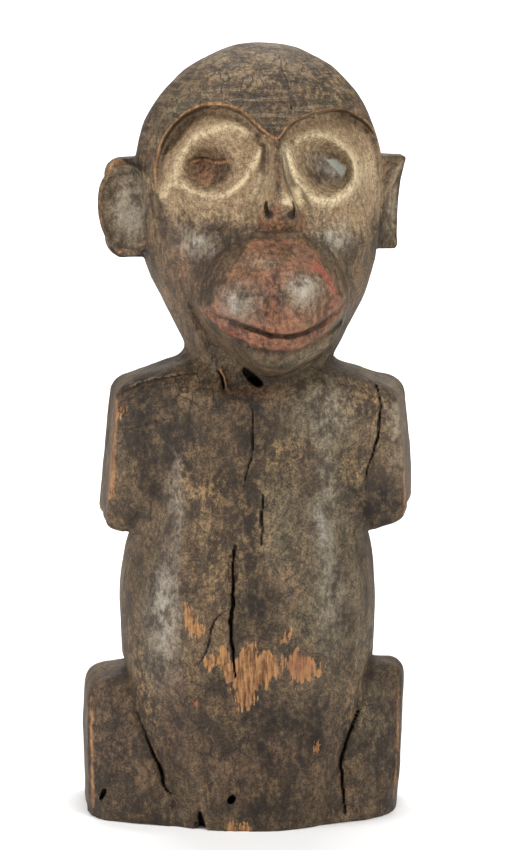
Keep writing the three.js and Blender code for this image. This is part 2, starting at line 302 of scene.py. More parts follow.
# Noise
class Noise:
    """Repeatable value noise and cell noise on tables of seeded random numbers."""

    SIZE = 32

    def __init__(self, seed):
        chance = np.random.RandomState(seed)
        self.values = chance.uniform(-1, 1, self.SIZE**3).astype(np.float32)
        self.places = chance.uniform(0.1, 0.9, (self.SIZE**3, 3)).astype(np.float32)

    def index(self, i, j, k):
        wrap = self.SIZE - 1
        return ((i & wrap) * self.SIZE + (j & wrap)) * self.SIZE + (k & wrap)

    def soft(self, x, y, z):
        """Smooth noise from -1 to 1, one bump to a unit."""
        base = [np.floor(a).astype(np.int32) for a in (x, y, z)]
        part = [a - b for a, b in zip((x, y, z), base)]
        fade = [t * t * (3 - 2 * t) for t in part]
        total = 0
        for dx in (0, 1):
            for dy in (0, 1):
                for dz in (0, 1):
                    weight = (fade[0] if dx else 1 - fade[0]) * (fade[1] if dy else 1 - fade[1])
                    weight = weight * (fade[2] if dz else 1 - fade[2])
                    total = total + weight * self.values[self.index(base[0] + dx, base[1] + dy, base[2] + dz)]
        return total

    def layers(self, x, y, z, count):
        total, size = 0, 1.0
        for n in range(count):
            grow = 2.03**n
            total = total + size * self.soft(x * grow + 5.3 * n, y * grow + 1.7 * n, z * grow + 9.1 * n)
            size *= 0.5
        return total

    def cells(self, x, y, z):
        """Distance to the nearest of a scatter of points, one point to a unit cube."""
        base = [np.floor(a).astype(np.int32) for a in (x, y, z)]
        best = np.full(x.shape, 9.0, np.float32)
        for dx in (-1, 0, 1):
            for dy in (-1, 0, 1):
                for dz in (-1, 0, 1):
                    i, j, k = base[0] + dx, base[1] + dy, base[2] + dz
                    at = self.places[self.index(i, j, k)]
                    away = (i + at[..., 0] - x) ** 2 + (j + at[..., 1] - y) ** 2 + (k + at[..., 2] - z) ** 2
                    best = np.minimum(best, away)
        return np.sqrt(best)


noise = Noise(SEED)
FLAT = np.zeros_like(MAP_X)
JITTER_X = 0.9 * noise.layers(MAP_X / 9, MAP_Y / 9, FLAT, 3)
JITTER_Y = 0.9 * noise.layers(MAP_X / 9, MAP_Y / 9, FLAT + 7.5, 3)
RAGGED = noise.layers(MAP_X / 5, MAP_Y / 11, FLAT + 3.5, 4)


# Marks on the picture plane
def map_window(low, high):
    """The rows and columns of a picture map between two pixel places."""
    cols, rows = (slice(max(int(low[n] * PER_PIXEL), 0), max(int(high[n] * PER_PIXEL) + 2, 0)) for n in (0, 1))
    return rows, cols


def path_distance(points, reach, jagged=0.0, smooth=True):
    """Distance in pixels from each map cell to a path, and the share of the path's length at its nearest place."""
    line = smooth_path(points) if smooth else np.array(points, float)
    distance = np.full(MAP_X.shape, 99.0, np.float32)
    share = np.zeros(MAP_X.shape, np.float32)
    pad = reach + 3 * jagged
    for n, (a, b) in enumerate(zip(line[:-1], line[1:])):
        window = map_window(np.minimum(a, b) - pad, np.maximum(a, b) + pad)
        x = MAP_X[window] + jagged * JITTER_X[window] - a[0]
        y = MAP_Y[window] + jagged * JITTER_Y[window] - a[1]
        run = b - a
        t = np.clip((x * run[0] + y * run[1]) / max(run @ run, 1e-6), 0, 1)
        away = np.hypot(x - t * run[0], y - t * run[1])
        closer = away < distance[window]
        distance[window] = np.where(closer, away, distance[window])
        share[window] = np.where(closer, (n + t) / (len(line) - 1), share[window])
    return distance, share


def stroke(points, width, reach=4.0, jagged=0.0):
    """A soft band along a path, 1 on it and falling off over its width in pixels."""
    distance, _ = path_distance(points, width * reach, jagged)
    return np.exp(-((distance / width) ** 2))


def inside(points, ragged=0.0, smooth=True, reach=40.0):
    """Signed distance in pixels into a closed outline, positive inside."""
    line = smooth_path(points, 3.0, closed=True) if smooth else np.array(points, float)
    ring = np.vstack([line, line[:1]])
    distance, _ = path_distance(ring, reach, smooth=False)
    window = map_window(ring.min(0) - 3 * ragged, ring.max(0) + 3 * ragged)
    x = MAP_X[window] + ragged * JITTER_X[window]
    y = MAP_Y[window] + ragged * JITTER_Y[window]
    within = np.zeros(x.shape, bool)
    for (ax, ay), (bx, by) in zip(ring[:-1], ring[1:]):
        if ay != by:
            within ^= ((ay > y) != (by > y)) & (x < (bx - ax) * (y - ay) / (by - ay) + ax)
    signed = -distance
    signed[window] = np.where(within, distance[window], -distance[window])
    return signed


def spot(x, y, half_width, half_height, tilt=0.0, power=2.0):
    """A soft spot, 1 at its middle. tilt is in degrees, clockwise in the picture."""
    c, s = math.cos(math.radians(tilt)), math.sin(math.radians(tilt))
    reach = 3.0 * max(half_width, half_height)
    window = map_window((x - reach, y - reach), (x + reach, y + reach))
    a, b = MAP_X[window] - x, MAP_Y[window] - y
    made = np.zeros(MAP_X.shape, np.float32)
    made[window] = np.exp(-(np.hypot((a * c + b * s) / half_width, (b * c - a * s) / half_height) ** power))
    return made


def crack(points, half_width, depth, jagged=1.0, ends=0.35):
    """The depth in mm of a split that thins towards its ends."""
    distance, share = path_distance(points, half_width * 2 + 3, jagged)
    half = half_width * (ends + (1 - ends) * np.sin(math.pi * np.clip(share, 0.02, 0.98)))
    return depth * smoothstep(half + 0.6, half - 0.6, distance)


# Valleys where the belly meets the limbs, and ridges between broad tool facets: path, mm, pixels
CREASES = [
    ([(126, 661), (129, 681), (136, 702), (143, 726), (151, 748), (161, 770), (166, 788)], 1.9, 4.5),
    ([(370, 655), (362, 690), (354, 719), (346, 738), (342, 765), (343, 795)], 1.9, 4.5),
    ([(128, 530), (142, 510), (160, 490), (170, 470), (174, 455)], 1.8, 5.0),
    ([(369, 527), (359, 500), (346, 480), (342, 460)], 1.8, 5.0),
]
RIDGES = [
    ([(181, 470), (180, 540), (179, 600), (182, 660), (190, 720)], 1.4, 7.0),
    ([(149, 560), (150, 620), (158, 690), (168, 740)], 0.9, 6.0),
    ([(322, 430), (324, 520), (322, 600), (318, 660)], 1.1, 8.0),
    ([(352, 520), (356, 580), (352, 640)], 0.8, 6.0),
    ([(214, 400), (206, 470), (212, 540)], 0.8, 8.0),
    ([(290, 690), (282, 745), (290, 800)], 0.8, 9.0),
]

# Cracks: path, half-width in pixels, depth in mm
CRACKS = {
    "crown": ([(279, 56), (283, 72), (288, 88), (291, 110)], 0.55, 4),
    "chest": ([(252, 408), (253, 428), (251, 455), (244, 487)], 0.6, 3),
    "chest_low": ([(263, 495), (262, 520), (261, 546)], 0.6, 4),
    "belly": ([(235, 545), (233, 565), (232.5, 602), (231, 622), (231, 641), (234, 658), (235, 677)], 1.15, 9),
    "flake": ([(230, 609), (219, 617), (211, 630), (207.5, 647), (199, 666)], 0.8, 2.5),
    "right_shoulder": ([(377, 385), (380, 405), (379, 425), (374, 448), (367, 472), (365, 490)], 0.6, 4),
    "left_hip": ([(138, 712), (143, 727), (150, 746), (161, 770), (165, 786), (172, 793)], 0.8, 7),
    "right_hip": ([(358, 711), (352, 724), (346, 741), (341, 764), (342, 790), (345, 814)], 0.8, 7),
    "right_cheek": ([(321, 205), (322, 225), (323, 250)], 0.6, 1.2),
    "right_temple": ([(354, 186), (362, 205), (371, 226)], 0.5, 1.0),
    "beside_nose": ([(290, 146), (296, 162), (304, 176)], 0.6, 1.2),
    "left_shoulder": ([(118, 396), (140, 384), (168, 378), (200, 372)], 0.7, 1.5),
    "left_shoulder_low": ([(118, 432), (150, 424), (190, 412)], 0.6, 1.2),
    "sliver_gap": ([(217, 368), (222, 378), (225, 389)], 1.0, 4),
}
HOLES = {
    "chest": ([(243, 369), (249, 369), (256, 376), (263, 384), (257, 386), (249, 380)], 18),
    "left_hip": ([(100, 798), (104, 789), (106, 792), (102, 799)], 12),
    "middle": ([(228, 799), (232, 795), (236, 798), (232, 804), (228, 803)], 12),
    "base_wedge": ([(198, 811), (202, 816), (206, 833), (198, 833), (199, 822)], 10),
}
CHIPS = [(178, 782, 6, 3, -30, 2.0), (175, 805, 4, 8, 15, 2.5), (123, 411, 4, 3, 0, 1.0), (232, 790, 5, 3, 0, 1.0)]
BARE_PATCHES = {
    "main": [
        (222, 668), (232, 660), (243, 652), (252, 643), (258, 655), (268, 652), (275, 662), (273, 680),
        (262, 690), (256, 702), (247, 710), (238, 700), (232, 688), (224, 680),
    ],
    "rosy": [(281, 660), (292, 645), (302, 652), (312, 655), (320, 658), (322, 672), (312, 680), (298, 682), (287, 676)],
    "left": [(182, 604), (190, 608), (197, 622), (205, 633), (198, 638), (190, 630), (184, 622)],
    "nick": [(280, 643), (286, 632), (291, 629), (290, 637), (284, 645)],
    "speck_left": [(192, 703), (197, 702), (196, 708)],
    "speck_right": [(315, 741), (319, 741), (318, 750), (315, 750)],
    "shoulder_chip": [(119, 409), (125, 409), (125, 414), (120, 413)],
    "base": [(226, 827), (240, 824), (252, 826), (250, 832), (228, 832)],
    "crack_lip": [(205, 660), (216, 655), (219, 662), (209, 667)],
    "flake_top": [(222, 648), (229, 651), (229, 662), (223, 660)],
}


def head_relief():
    """How far the head's front is cut back, in mm, over the picture."""
    into = inside(FACE_OUTLINE, reach=30)
    arch = 1 - smoothstep(140, 190, MAP_Y)
    fade = 1 - smoothstep(205, 246, MAP_Y)
    side = smoothstep(190, 168, MAP_X) * smoothstep(135, 165, MAP_Y)
    sunk = (5.0 + 4.0 * arch) * (1 - 0.65 * side) * smoothstep(-0.6, 4.0, into) * fade
    sunk += 2.4 * np.exp(-(((into - 9) / 6.0) ** 2)) * arch * fade * (1 - side)
    sunk -= 1.1 * np.exp(-(((into + 2.5) / 2.5) ** 2)) * arch
    sunk -= 3.2 * stroke(LEFT_RING, 7) + 3.2 * stroke(LEFT_UNDER_RING, 5.5) + 3.4 * stroke(RIGHT_RING, 6)
    sunk += 12.5 * spot(210, 167, 22, 20, -12, 3.5) + 4.0 * spot(247, 148, 13, 7, -30)
    sunk += 12.5 * spot(323, 168, 26, 19, 42, 3.5)
    for path in NOSE_CREASES:
        sunk += 1.6 * stroke(path, 3.5, jagged=0.5)
    sunk += 1.6 * stroke(LEFT_GASH, 2.2, jagged=1.5) - 1.3 * spot(208, 156, 20, 5) - 1.5 * spot(209, 173, 17, 6)
    sunk -= 1.2 * spot(334, 168, 12, 8, 42, 4)
    sunk -= 2.4 * spot(206, 216, 22, 12, 12)
    sunk += 1.6 * stroke(LEFT_BAG, 2.6)
    sunk -= 2.2 * spot(197, 243, 20, 12, -10) + 2.0 * spot(338, 236, 18, 16)
    sunk += 0.9 * stroke(MUZZLE_TOP, 3.5) * smoothstep(-60, 60, 280 - MAP_Y)
    muzzle = inside(MUZZLE_SKIN, reach=30)
    sunk -= 1.3 * np.exp(-(((muzzle - 6) / 5) ** 2)) * (1 - smoothstep(285, 320, MAP_Y))
    sunk -= 1.3 * stroke(CREST, 5)
    sunk -= 4.0 * spot(240, 304, 20, 18, 20) + 4.0 * spot(306, 299, 20, 18, -15)
    sunk += 3.4 * spot(273, 306, 9, 28, 0, 2.5)
    slit = curve(LIP_SLIT)(MAP_X)
    below = MAP_Y - slit
    near_mouth = smoothstep(196, 210, MAP_X) * (1 - smoothstep(338, 353, MAP_X))
    ends = smoothstep(198, 216, MAP_X) * (1 - smoothstep(322, 352, MAP_X))
    sunk += (1.8 + 2.2 * spot(272, 336, 45, 18)) * stroke(LIP_SLIT, 1.5, jagged=0.7) * ends
    sunk -= 1.6 * np.exp(-(((below + 7) / 5.5) ** 2)) * near_mouth
    sunk -= 2.0 * np.exp(-(((below - 8) / 5.0) ** 2)) * near_mouth
    sunk += 1.2 * smoothstep(-1, 3, below) * near_mouth * (1 - smoothstep(10, 40, below))
    sunk += 1.8 * stroke(LOWER_LIP, 1.8, jagged=0.5)
    for name in ("crown", "right_cheek", "right_temple", "beside_nose"):
        sunk = np.maximum(sunk, sunk + crack(*CRACKS[name]))
    return sunk.astype(np.float32)


def body_relief():
    """How far the body's front is cut back, in mm, over the picture."""
    cut = np.zeros(MAP_X.shape, np.float32)
    head_cracks = ("crown", "right_cheek", "right_temple", "beside_nose")
    for name, shape in CRACKS.items():
        if name not in head_cracks:
            cut = np.maximum(cut, crack(*shape))
    cut -= 0.7 * stroke(CRACKS["belly"][0], 5) + 0.8 * spot(219, 640, 9, 22, 12)
    for outline, depth in HOLES.values():
        cut = np.maximum(cut, depth * smoothstep(-0.6, 0.8, inside(outline, 0.6, reach=8)))
    for x, y, half_width, half_height, tilt, depth in CHIPS:
        cut += depth * spot(x, y, half_width, half_height, tilt, 3) * (0.8 + 0.4 * RAGGED)
    for outline in BARE_PATCHES.values():
        edge = inside(outline, reach=14) + 3.0 * RAGGED
        cut += 0.9 * smoothstep(-0.5, 1.5, edge)
    cut -= 1.6 * stroke([(220, 368), (224, 378), (227, 388)], 1.2)
    for path, depth, width in CREASES:
        cut += depth * stroke(path, width, jagged=1.0)
    for path, height, width in RIDGES:
        cut -= height * stroke(path, width, jagged=1.5)
    return cut


# The solid
def ready(part):
    made = dict(part)
    for key in ("centre", "half", "front", "back"):
        if key in part:
            made[key] = curve(part[key])
    return made


BELLY, HIPS, SHOULDERS, NECK, HEAD, NOSE = map(ready, (BELLY, HIPS, SHOULDERS, NECK, HEAD, NOSE))


def section(across, half, along, reach, power):
    """A point's place against a superellipse, which is 1 on it, and how fast that grows per mm."""
    a = np.abs(across) / half
    b = np.abs(along) / reach
    size = (a**power + b**power) ** (1 / power) + 1e-5
    grow = np.hypot((a / size) ** (power - 1) / half, (b / size) ** (power - 1) / reach)
    return size, grow


def loft_distance(part, x, y, z):
    reach = np.where(y < 0, part["front"](z), part["back"](z)) if "back" in part else part["front"](z)
    size, grow = section(x - part["centre"](z), part["half"](z), y, reach, part["power"])
    return (size - 1) / grow


class Outline:
    """Distance outside a rounded polygon in x and z, read from a table."""

    STEP = 0.5

    def __init__(self, corners):
        points = [np.array(c[:2], float) for c in corners]
        line = []
        for i, corner in enumerate(points):
            radius = corners[i][2] if len(corners[i]) > 2 else 0
            if not radius:
                line.append(corner)
                continue
            before, after = points[i - 1] - corner, points[(i + 1) % len(points)] - corner
            start = corner + before * radius / np.hypot(*before)
            end = corner + after * radius / np.hypot(*after)
            for t in np.linspace(0, 1, 9):
                line.append((1 - t) ** 2 * start + 2 * t * (1 - t) * corner + t * t * end)
        line = np.array(line)
        self.low = line.min(0) - 30
        count = ((line.max(0) + 30 - self.low) / self.STEP).astype(int) + 1
        x, z = np.meshgrid(*(self.low[n] + self.STEP * np.arange(count[n]) for n in (0, 1)), indexing="ij")
        distance, within = np.full(x.shape, 1e6), np.zeros(x.shape, bool)
        for a, b in zip(line, np.roll(line, -1, axis=0)):
            run = b - a
            t = np.clip(((x - a[0]) * run[0] + (z - a[1]) * run[1]) / max(run @ run, 1e-9), 0, 1)
            distance = np.minimum(distance, np.hypot(x - a[0] - t * run[0], z - a[1] - t * run[1]))
            if a[1] != b[1]:
                within ^= ((a[1] > z) != (b[1] > z)) & (x < run[0] * (z - a[1]) / run[1] + a[0])
        self.table = np.where(within, -distance, distance).astype(np.float32)

    def distance(self, x, z):
        a = np.clip((x - self.low[0]) / self.STEP, 0, self.table.shape[0] - 1.01).astype(np.float32)
        b = np.clip((z - self.low[1]) / self.STEP, 0, self.table.shape[1] - 1.01).astype(np.float32)
        i, j = a.astype(np.int32), b.astype(np.int32)
        f, g = a - i, b - j
        flat, wide = self.table.ravel(), self.table.shape[1]
        at = i * wide + j
        near = flat[at] * (1 - g) + flat[at + 1] * g
        far = flat[at + wide] * (1 - g) + flat[at + wide + 1] * g
        return near * (1 - f) + far * f


HIPS["cut"] = Outline(HIPS["outline"])
SHOULDERS["cut"] = Outline(SHOULDERS["outline"])


def stub_block(part, x, y, z):
    """A pair of limb stubs, with crisp cut ends and a rounder top."""
    square = x - np.sign(x) * LIMB_CUT_DRAFT * y
    top = part["shoulder_line"]
    worn = 2.2 + 14 * smoothstep(top - 20, top, z) * smoothstep(104, 86, np.abs(x))
    worn = worn + 10 * smoothstep(30, 4, z)
    return smooth_max(loft_distance(part, x, y, z), part["cut"].distance(square, z), worn)


def muzzle_depth(u, z):
    half = MUZZLE["half"] - MUZZLE["chin_taper"] * np.maximum(0, MUZZLE["height"] - z)
    half_height = np.where(z > MUZZLE["height"], MUZZLE["half_height"], MUZZLE["chin_half_height"])
    within = 1 - (np.abs(u) / half) ** MUZZLE["side_power"]
    within = within - (np.abs(z - MUZZLE["height"]) / half_height) ** MUZZLE["rise_power"]
    swell = np.maximum(within, 1e-4) ** MUZZLE["swell_power"]
    return MUZZLE["root"] + MUZZLE["reach"] * np.where(within > 0, swell, MUZZLE["fall"] * within)


def to_head(x, y):
    c, s = math.cos(HEAD["turn"]), math.sin(HEAD["turn"])
    a, b = x - HEAD["axis"][0], y - HEAD["axis"][1]
    return a * c + b * s, a * s - b * c


def skull_distance(u, v, z):
    reach = np.where(v > 0, HEAD["front"](z), HEAD["back"](z))
    size, grow = section(u - HEAD["centre"](z), HEAD["half"](z), v, reach, HEAD["power"])
    up = np.maximum(0, z - HEAD["widest"]) / (HEIGHT - HEAD["widest"])
    crown = HEAD["crown"]
    whole = (size**crown + up**crown) ** (1 / crown)
    rise = (up / whole) ** (crown - 1) / (HEIGHT - HEAD["widest"])
    slope = np.hypot((size / whole) ** (crown - 1) * grow, rise)
    return (whole - 1) / slope


def muzzle_distance(u, v, z):
    step = 0.75
    depth = muzzle_depth(u, z)
    slope_u = (muzzle_depth(u + step, z) - depth) / step
    slope_z = (muzzle_depth(u, z + step) - depth) / step
    steep = np.sqrt(1 + np.minimum(slope_u**2 + slope_z**2, 60.0))
    return (depth - v) / -steep


def rounded_plate(flat, across, half, radius):
    """A flat shape's distance carried to a plate of the given half-thickness with rounded edges."""
    a, b = flat + radius, np.abs(across) - half + radius
    return np.hypot(np.maximum(a, 0), np.maximum(b, 0)) + np.minimum(np.maximum(a, b), 0) - radius


def ellipsoid_distance(x, y, z, half):
    """Roughly how far a point is outside an ellipsoid about the origin."""
    a, b, c = x / half[0], y / half[1], z / half[2]
    size = np.sqrt(a * a + b * b + c * c) + 1e-5
    grow = np.sqrt((a / half[0]) ** 2 + (b / half[1]) ** 2 + (c / half[2]) ** 2) / size
    return (size - 1) / grow


def rolled(x, z, degrees):
    """Places across and up, turned about the line of sight so that the top leans to +x."""
    c, s = math.cos(math.radians(degrees)), math.sin(math.radians(degrees))
    return x * c - z * s, z * c + x * s


def ear_root(ear, u, v, z):
    """The block that joins an ear to the head."""
    b = ear["forward"] - v
    rise = z - ear["root_height"]
    outer = ear["side"] * (u - ear["across"]) - ear["root_out"] - ear["lean"] * rise
    flat = rounded_plate(outer, rise, ear["root_half"], ear["corner"])
    return smooth_max(flat, np.maximum(ear["root_front"] - b, b - EAR["root_back"]), 1.5)


def ear_distance(ear, u, v, z):
    root = ear_root(ear, u, v, z)
    if "scoop_half" in ear:
        across, rise = rolled(u - ear["scoop_middle"][0], z - ear["height"], ear["scoop_roll"])
        return smooth_max(root, -ellipsoid_distance(across, v - ear["scoop_middle"][1], rise, ear["scoop_half"]), 0.8)
    turn = math.radians(ear["turn"])
    a, b = u - ear["across"], ear["forward"] - v
    x, y = a * math.cos(turn) + b * math.sin(turn), b * math.cos(turn) - a * math.sin(turn)
    x, c = rolled(x, z - ear["height"], ear["roll"])
    size, grow = section(x, ear["half"], c, EAR["half_height"], ear["power"])
    bevel = EAR["bevel"]
    plate = rounded_plate((size - 1) / grow, y + EAR["plate"] / 2, EAR["plate"] / 2 + bevel, bevel)
    cup_half = (ear["cup_half"], EAR["cup"], EAR["half_height"] - EAR["end_rim"])
    inward = np.clip(x, 0, ear["open"])
    bowl = ellipsoid_distance(x - inward, y + EAR["plate"] + bevel, c, cup_half)
    return smooth_max(smooth_min(plate, root, 1.0), -bowl, 1.2)


def nose_distance(u, v, z):
    shape = loft_distance(NOSE, u, -v, z)
    return smooth_max(shape, np.maximum(NOSE["bottom"] - z, z - NOSE["top"]), 7.0)


def nostril_distance(u, v, z):
    """Two shallow bowls, each with a hole running up and back from it."""
    best = None
    lean = NOSTRIL["lean"]
    for side in (-1, 1):
        a = u - NOSTRIL["middle"] - side * NOSTRIL["across"]
        bowl = np.sqrt(a * a + (v - NOSTRIL["bowl_forward"]) ** 2 + (z - NOSTRIL["height"]) ** 2) - NOSTRIL["bowl"]
        b, c = v - NOSTRIL["hole_forward"], z - NOSTRIL["hole_height"]
        along = c * math.cos(lean) - b * math.sin(lean)
        aside = b * math.cos(lean) + c * math.sin(lean)
        past = np.maximum(np.abs(along) - NOSTRIL["length"], 0)
        hole = np.sqrt(a * a + aside * aside + past * past) - NOSTRIL["hole"]
        both = smooth_min(bowl, hole, 1.0)
        best = both if best is None else np.minimum(best, both)
    return best


def head_distance(x, y, z, relief):
    u, v = to_head(x, y)
    made = skull_distance(u, v, z)
    front = np.nonzero((v > 15) & (z < 480))[0]
    fu, fv, fz = u[front], v[front], z[front]
    px, py = to_picture(x[front], y[front], fz)
    skull = made[front]
    blend = (15 - 8 * smoothstep(372, 398, fz)) * (1 - 0.6 * smoothstep(30, 55, np.abs(fu)))
    swollen = smooth_min(skull, muzzle_distance(fu, fv, fz), blend)
    swollen += lookup(relief, px, py) * smoothstep(15, 35, fv)
    swollen = smooth_min(swollen, nose_distance(fu, fv, fz), 3.0 + 7.0 * smoothstep(409, 399, fz))
    swollen = smooth_max(swollen, -nostril_distance(fu, fv, fz), 1.0)
    rise = np.where(fu < 0, CHIN["left_rise"], CHIN["rise"])
    under = CHIN["height"] + rise * np.abs(fu / CHIN["half"]) ** CHIN["power"]
    under = under - CHIN["slope"] * (CHIN["forward"] - fv)
    slope = rise * CHIN["power"] / CHIN["half"] * np.abs(fu / CHIN["half"]) ** (CHIN["power"] - 1)
    cut = np.minimum((under - fz) / np.hypot(1.03, slope), fv - CHIN["behind"])
    made[front] = smooth_max(swollen, cut, 1.2)
    made = np.maximum(made, (HEAD["bottom"] - 4 - z))
    for ear in EARS:
        near = np.nonzero((u * ear["side"] > 45) & (z > 365) & (z < 460))[0]
        joined = smooth_min(made[near], ear_distance(ear, u[near], v[near], z[near]), 2.0)
        made[near] = joined
    return made


def body_distance(x, y, z, relief):
    made = np.maximum(loft_distance(BELLY, x, y, z), z - BELLY["top"])
    low = np.nonzero(z < 150)[0]
    hips = stub_block(HIPS, x[low], y[low], z[low])
    made[low] = smooth_min(made[low], hips, 1.5)
    high = np.nonzero(z > 150)[0]
    hx, hy, hz = x[high], y[high], z[high]
    shoulders = stub_block(SHOULDERS, hx, hy, hz)
    soft = 3 + 30 * smoothstep(215, 265, hz) * smoothstep(0, -30, hy)
    joined = smooth_min(made[high], shoulders, soft)
    neck = np.maximum(loft_distance(NECK, hx, hy, hz), hz - NECK["top"])
    made[high] = smooth_min(joined, neck, 7.0)
    front = np.nonzero(y < -5)[0]
    px, py = to_picture(x[front], y[front], z[front])
    made[front] += lookup(relief, px, py) * smoothstep(-5, -20, y[front])
    return made


RELIEFS = {}


def figure_distance(x, y, z):
    """Roughly how far a point is outside the figure, in mm."""
    made = np.full(x.shape, 50.0, np.float32)
    low = np.nonzero(z < 365)[0]
    made[low] = body_distance(x[low], y[low], z[low], RELIEFS["body"])
    high = np.nonzero(z > 290)[0]
    head = head_distance(x[high], y[high], z[high], RELIEFS["head"])
    made[high] = smooth_min(made[high], head, 3.0)
    return smooth_max(made, -z, 0.8)


# Meshing
def in_threads(work, count, piece):
    """Runs work on slices of a long range, several at a time, and joins the results in order."""
    slices = [slice(a, min(a + piece, count)) for a in range(0, count, piece)]
    with ThreadPoolExecutor(4) as pool:
        return np.concatenate(list(pool.map(work, slices)))


def sample_field():
    """The field on a dense grid, worked out only near the surface and filled with its sign elsewhere."""
    low = np.array([-119.0, -119.0, -6.0])
    high = np.array([119.0, 77.0, 526.0])
    blocks = np.ceil((high - low) / (CELL * BLOCK)).astype(int)
    shape = blocks * BLOCK
    at = np.indices(blocks).reshape(3, -1).T
    middle = (low + (at * BLOCK + (BLOCK - 1) / 2) * CELL).astype(np.float32)
    coarse = in_threads(lambda s: figure_distance(*middle[s].T), len(middle), 20000)
    field = np.empty(blocks, np.float32)
    field.reshape(-1)[:] = np.where(coarse < 0, -20, 20)
    field = field.repeat(BLOCK, 0).repeat(BLOCK, 1).repeat(BLOCK, 2)
    near = at[np.abs(coarse) < CELL * BLOCK * 0.5 * 1.75 + 2.5]
    offsets = np.indices((BLOCK, BLOCK, BLOCK)).reshape(3, -1).T

    def block_values(part):
        index = (near[part][:, None, :] * BLOCK + offsets[None]).reshape(-1, 3)
        place = (low + index * CELL).astype(np.float32)
        return figure_distance(place[:, 0].copy(), place[:, 1].copy(), place[:, 2].copy())

    values = in_threads(block_values, len(near), 500).reshape(-1, BLOCK, BLOCK, BLOCK)
    grid = field.reshape(blocks[0], BLOCK, blocks[1], BLOCK, blocks[2], BLOCK)
    grid[near[:, 0], :, near[:, 1], :, near[:, 2], :] = values
    print("field", tuple(shape), "blocks", len(near), "points", values.size)
    return field, low


def surface_net(field, low):
    """A quad mesh on the zero level of the field: one vertex in each cell that the surface crosses."""
    solid = field < 0
    corners = [(i, j, k) for i in (0, 1) for j in (0, 1) for k in (0, 1)]
    size = np.array(field.shape) - 1
    count = np.zeros(size, np.int8)
    for i, j, k in corners:
        count += solid[i : i + size[0], j : j + size[1], k : k + size[2]]
    cells = np.argwhere((count > 0) & (count < 8)).astype(np.int32)
    number = np.full(size, -1, np.int32)
    number[tuple(cells.T)] = np.arange(len(cells))
    value = {c: field[tuple((cells + c).T)] for c in corners}
    total = np.zeros((len(cells), 3), np.float32)
    crossed = np.zeros(len(cells), np.float32)
    for start in corners:
        for axis in range(3):
            if start[axis]:
                continue
            end = tuple(s + (n == axis) for n, s in enumerate(start))
            a, b = value[start], value[end]
            cross = (a < 0) != (b < 0)
            t = np.where(cross, a / np.where(a == b, 1, a - b), 0)
            total += cross[:, None] * np.array(start, np.float32)
            total[:, axis] += t
            crossed += cross
    points = low + (cells + total / crossed[:, None]) * CELL
    quads = []
    for axis in range(3):
        one, two = [n for n in range(3) if n != axis]
        a = np.take(solid, range(0, field.shape[axis] - 1), axis)
        b = np.take(solid, range(1, field.shape[axis]), axis)
        for leaving in (True, False):
            edges = np.argwhere((a & ~b) if leaving else (~a & b)).astype(np.int32)
            edges = edges[(edges[:, one] > 0) & (edges[:, two] > 0)]
            edges = edges[(edges[:, one] < size[one]) & (edges[:, two] < size[two])]
            around = []
            for d1, d2 in ((0, 0), (1, 0), (1, 1), (0, 1)):
                cell = edges.copy()
                cell[:, one] -= d1
                cell[:, two] -= d2
                around.append(number[tuple(cell.T)])
            quad = np.stack(around, 1)
            if leaving == (axis == 1):
                quad = quad[:, ::-1]
            quads.append(quad)
    return points, np.concatenate(quads)


def main_body(points, quads):
    """The largest piece whose quads meet two by two, without loose specks and pinched-off pockets."""
    corners = np.stack([quads, np.roll(quads, -1, axis=1)], 2).reshape(-1, 2).astype(np.int64)
    key = corners.min(1) * len(points) + corners.max(1)
    order = np.argsort(key, kind="stable")
    _, first, count = np.unique(key[order], return_index=True, return_counts=True)
    pairs = first[count == 2]
    one, two = order[pairs] // 4, order[pairs + 1] // 4
    label = np.arange(len(quads))
    while (label[one] != label[two]).any():
        a, b = label[one], label[two]
        np.minimum.at(label, np.maximum(a, b), np.minimum(a, b))
        while (label[label] != label).any():
            label = label[label]
    used, kept = np.unique(quads[label == np.bincount(label).argmax()], return_inverse=True)
    return points[used], kept.reshape(-1, 4)


def mesh_of(name, points, faces):
    mesh = bpy.data.meshes.new(name)
    sides = faces.shape[1]
    mesh.vertices.add(len(points))
    mesh.vertices.foreach_set("co", points.astype(np.float32).ravel())
    mesh.loops.add(faces.size)
    mesh.loops.foreach_set("vertex_index", faces.astype(np.int32).ravel())
    mesh.polygons.add(len(faces))
    mesh.polygons.foreach_set("loop_start", np.arange(0, faces.size, sides, dtype=np.int32))
    mesh.update(calc_edges=True)
    mesh.validate()
    return mesh


def points_of(mesh):
    points = np.empty(len(mesh.vertices) * 3, np.float32)
    mesh.vertices.foreach_get("co", points)
    return points.reshape(-1, 3)


def normals_of(mesh):
    normals = np.empty(len(mesh.vertices) * 3, np.float32)
    mesh.vertex_normals.foreach_get("vector", normals)
    return normals.reshape(-1, 3)


def tool_marks(points):
    """Height in mm of the carver's facets, the grain and the wear, at model points."""
    x, y, z = points.T
    wander = 6 * noise.soft(x / 60, y / 60, z / 60)
    body = noise.cells((x + wander) / 24, y / 24, (z + wander) / 58)
    head = noise.cells((x + wander) / 19, y / 19, z / 21)
    upper = smoothstep(315, 345, z)
    facets = body**2 * 1.9 * (1 - upper) + head**2 * 0.9 * upper
    swell = 0.55 * noise.layers(x / 38, y / 38, z / 55, 2)
    grain = 0.10 * noise.layers(x / 2.2, y / 2.2, z / 26, 2) * (1 - upper)
    crown = 0.13 * noise.layers(x / 20, y / 20, z / 1.8, 2) * smoothstep(455, 480, z)
    rough = 0.13 * noise.layers(x / 7, y / 7, z / 9, 3)
    return facets - 0.5 + swell + grain + crown + rough


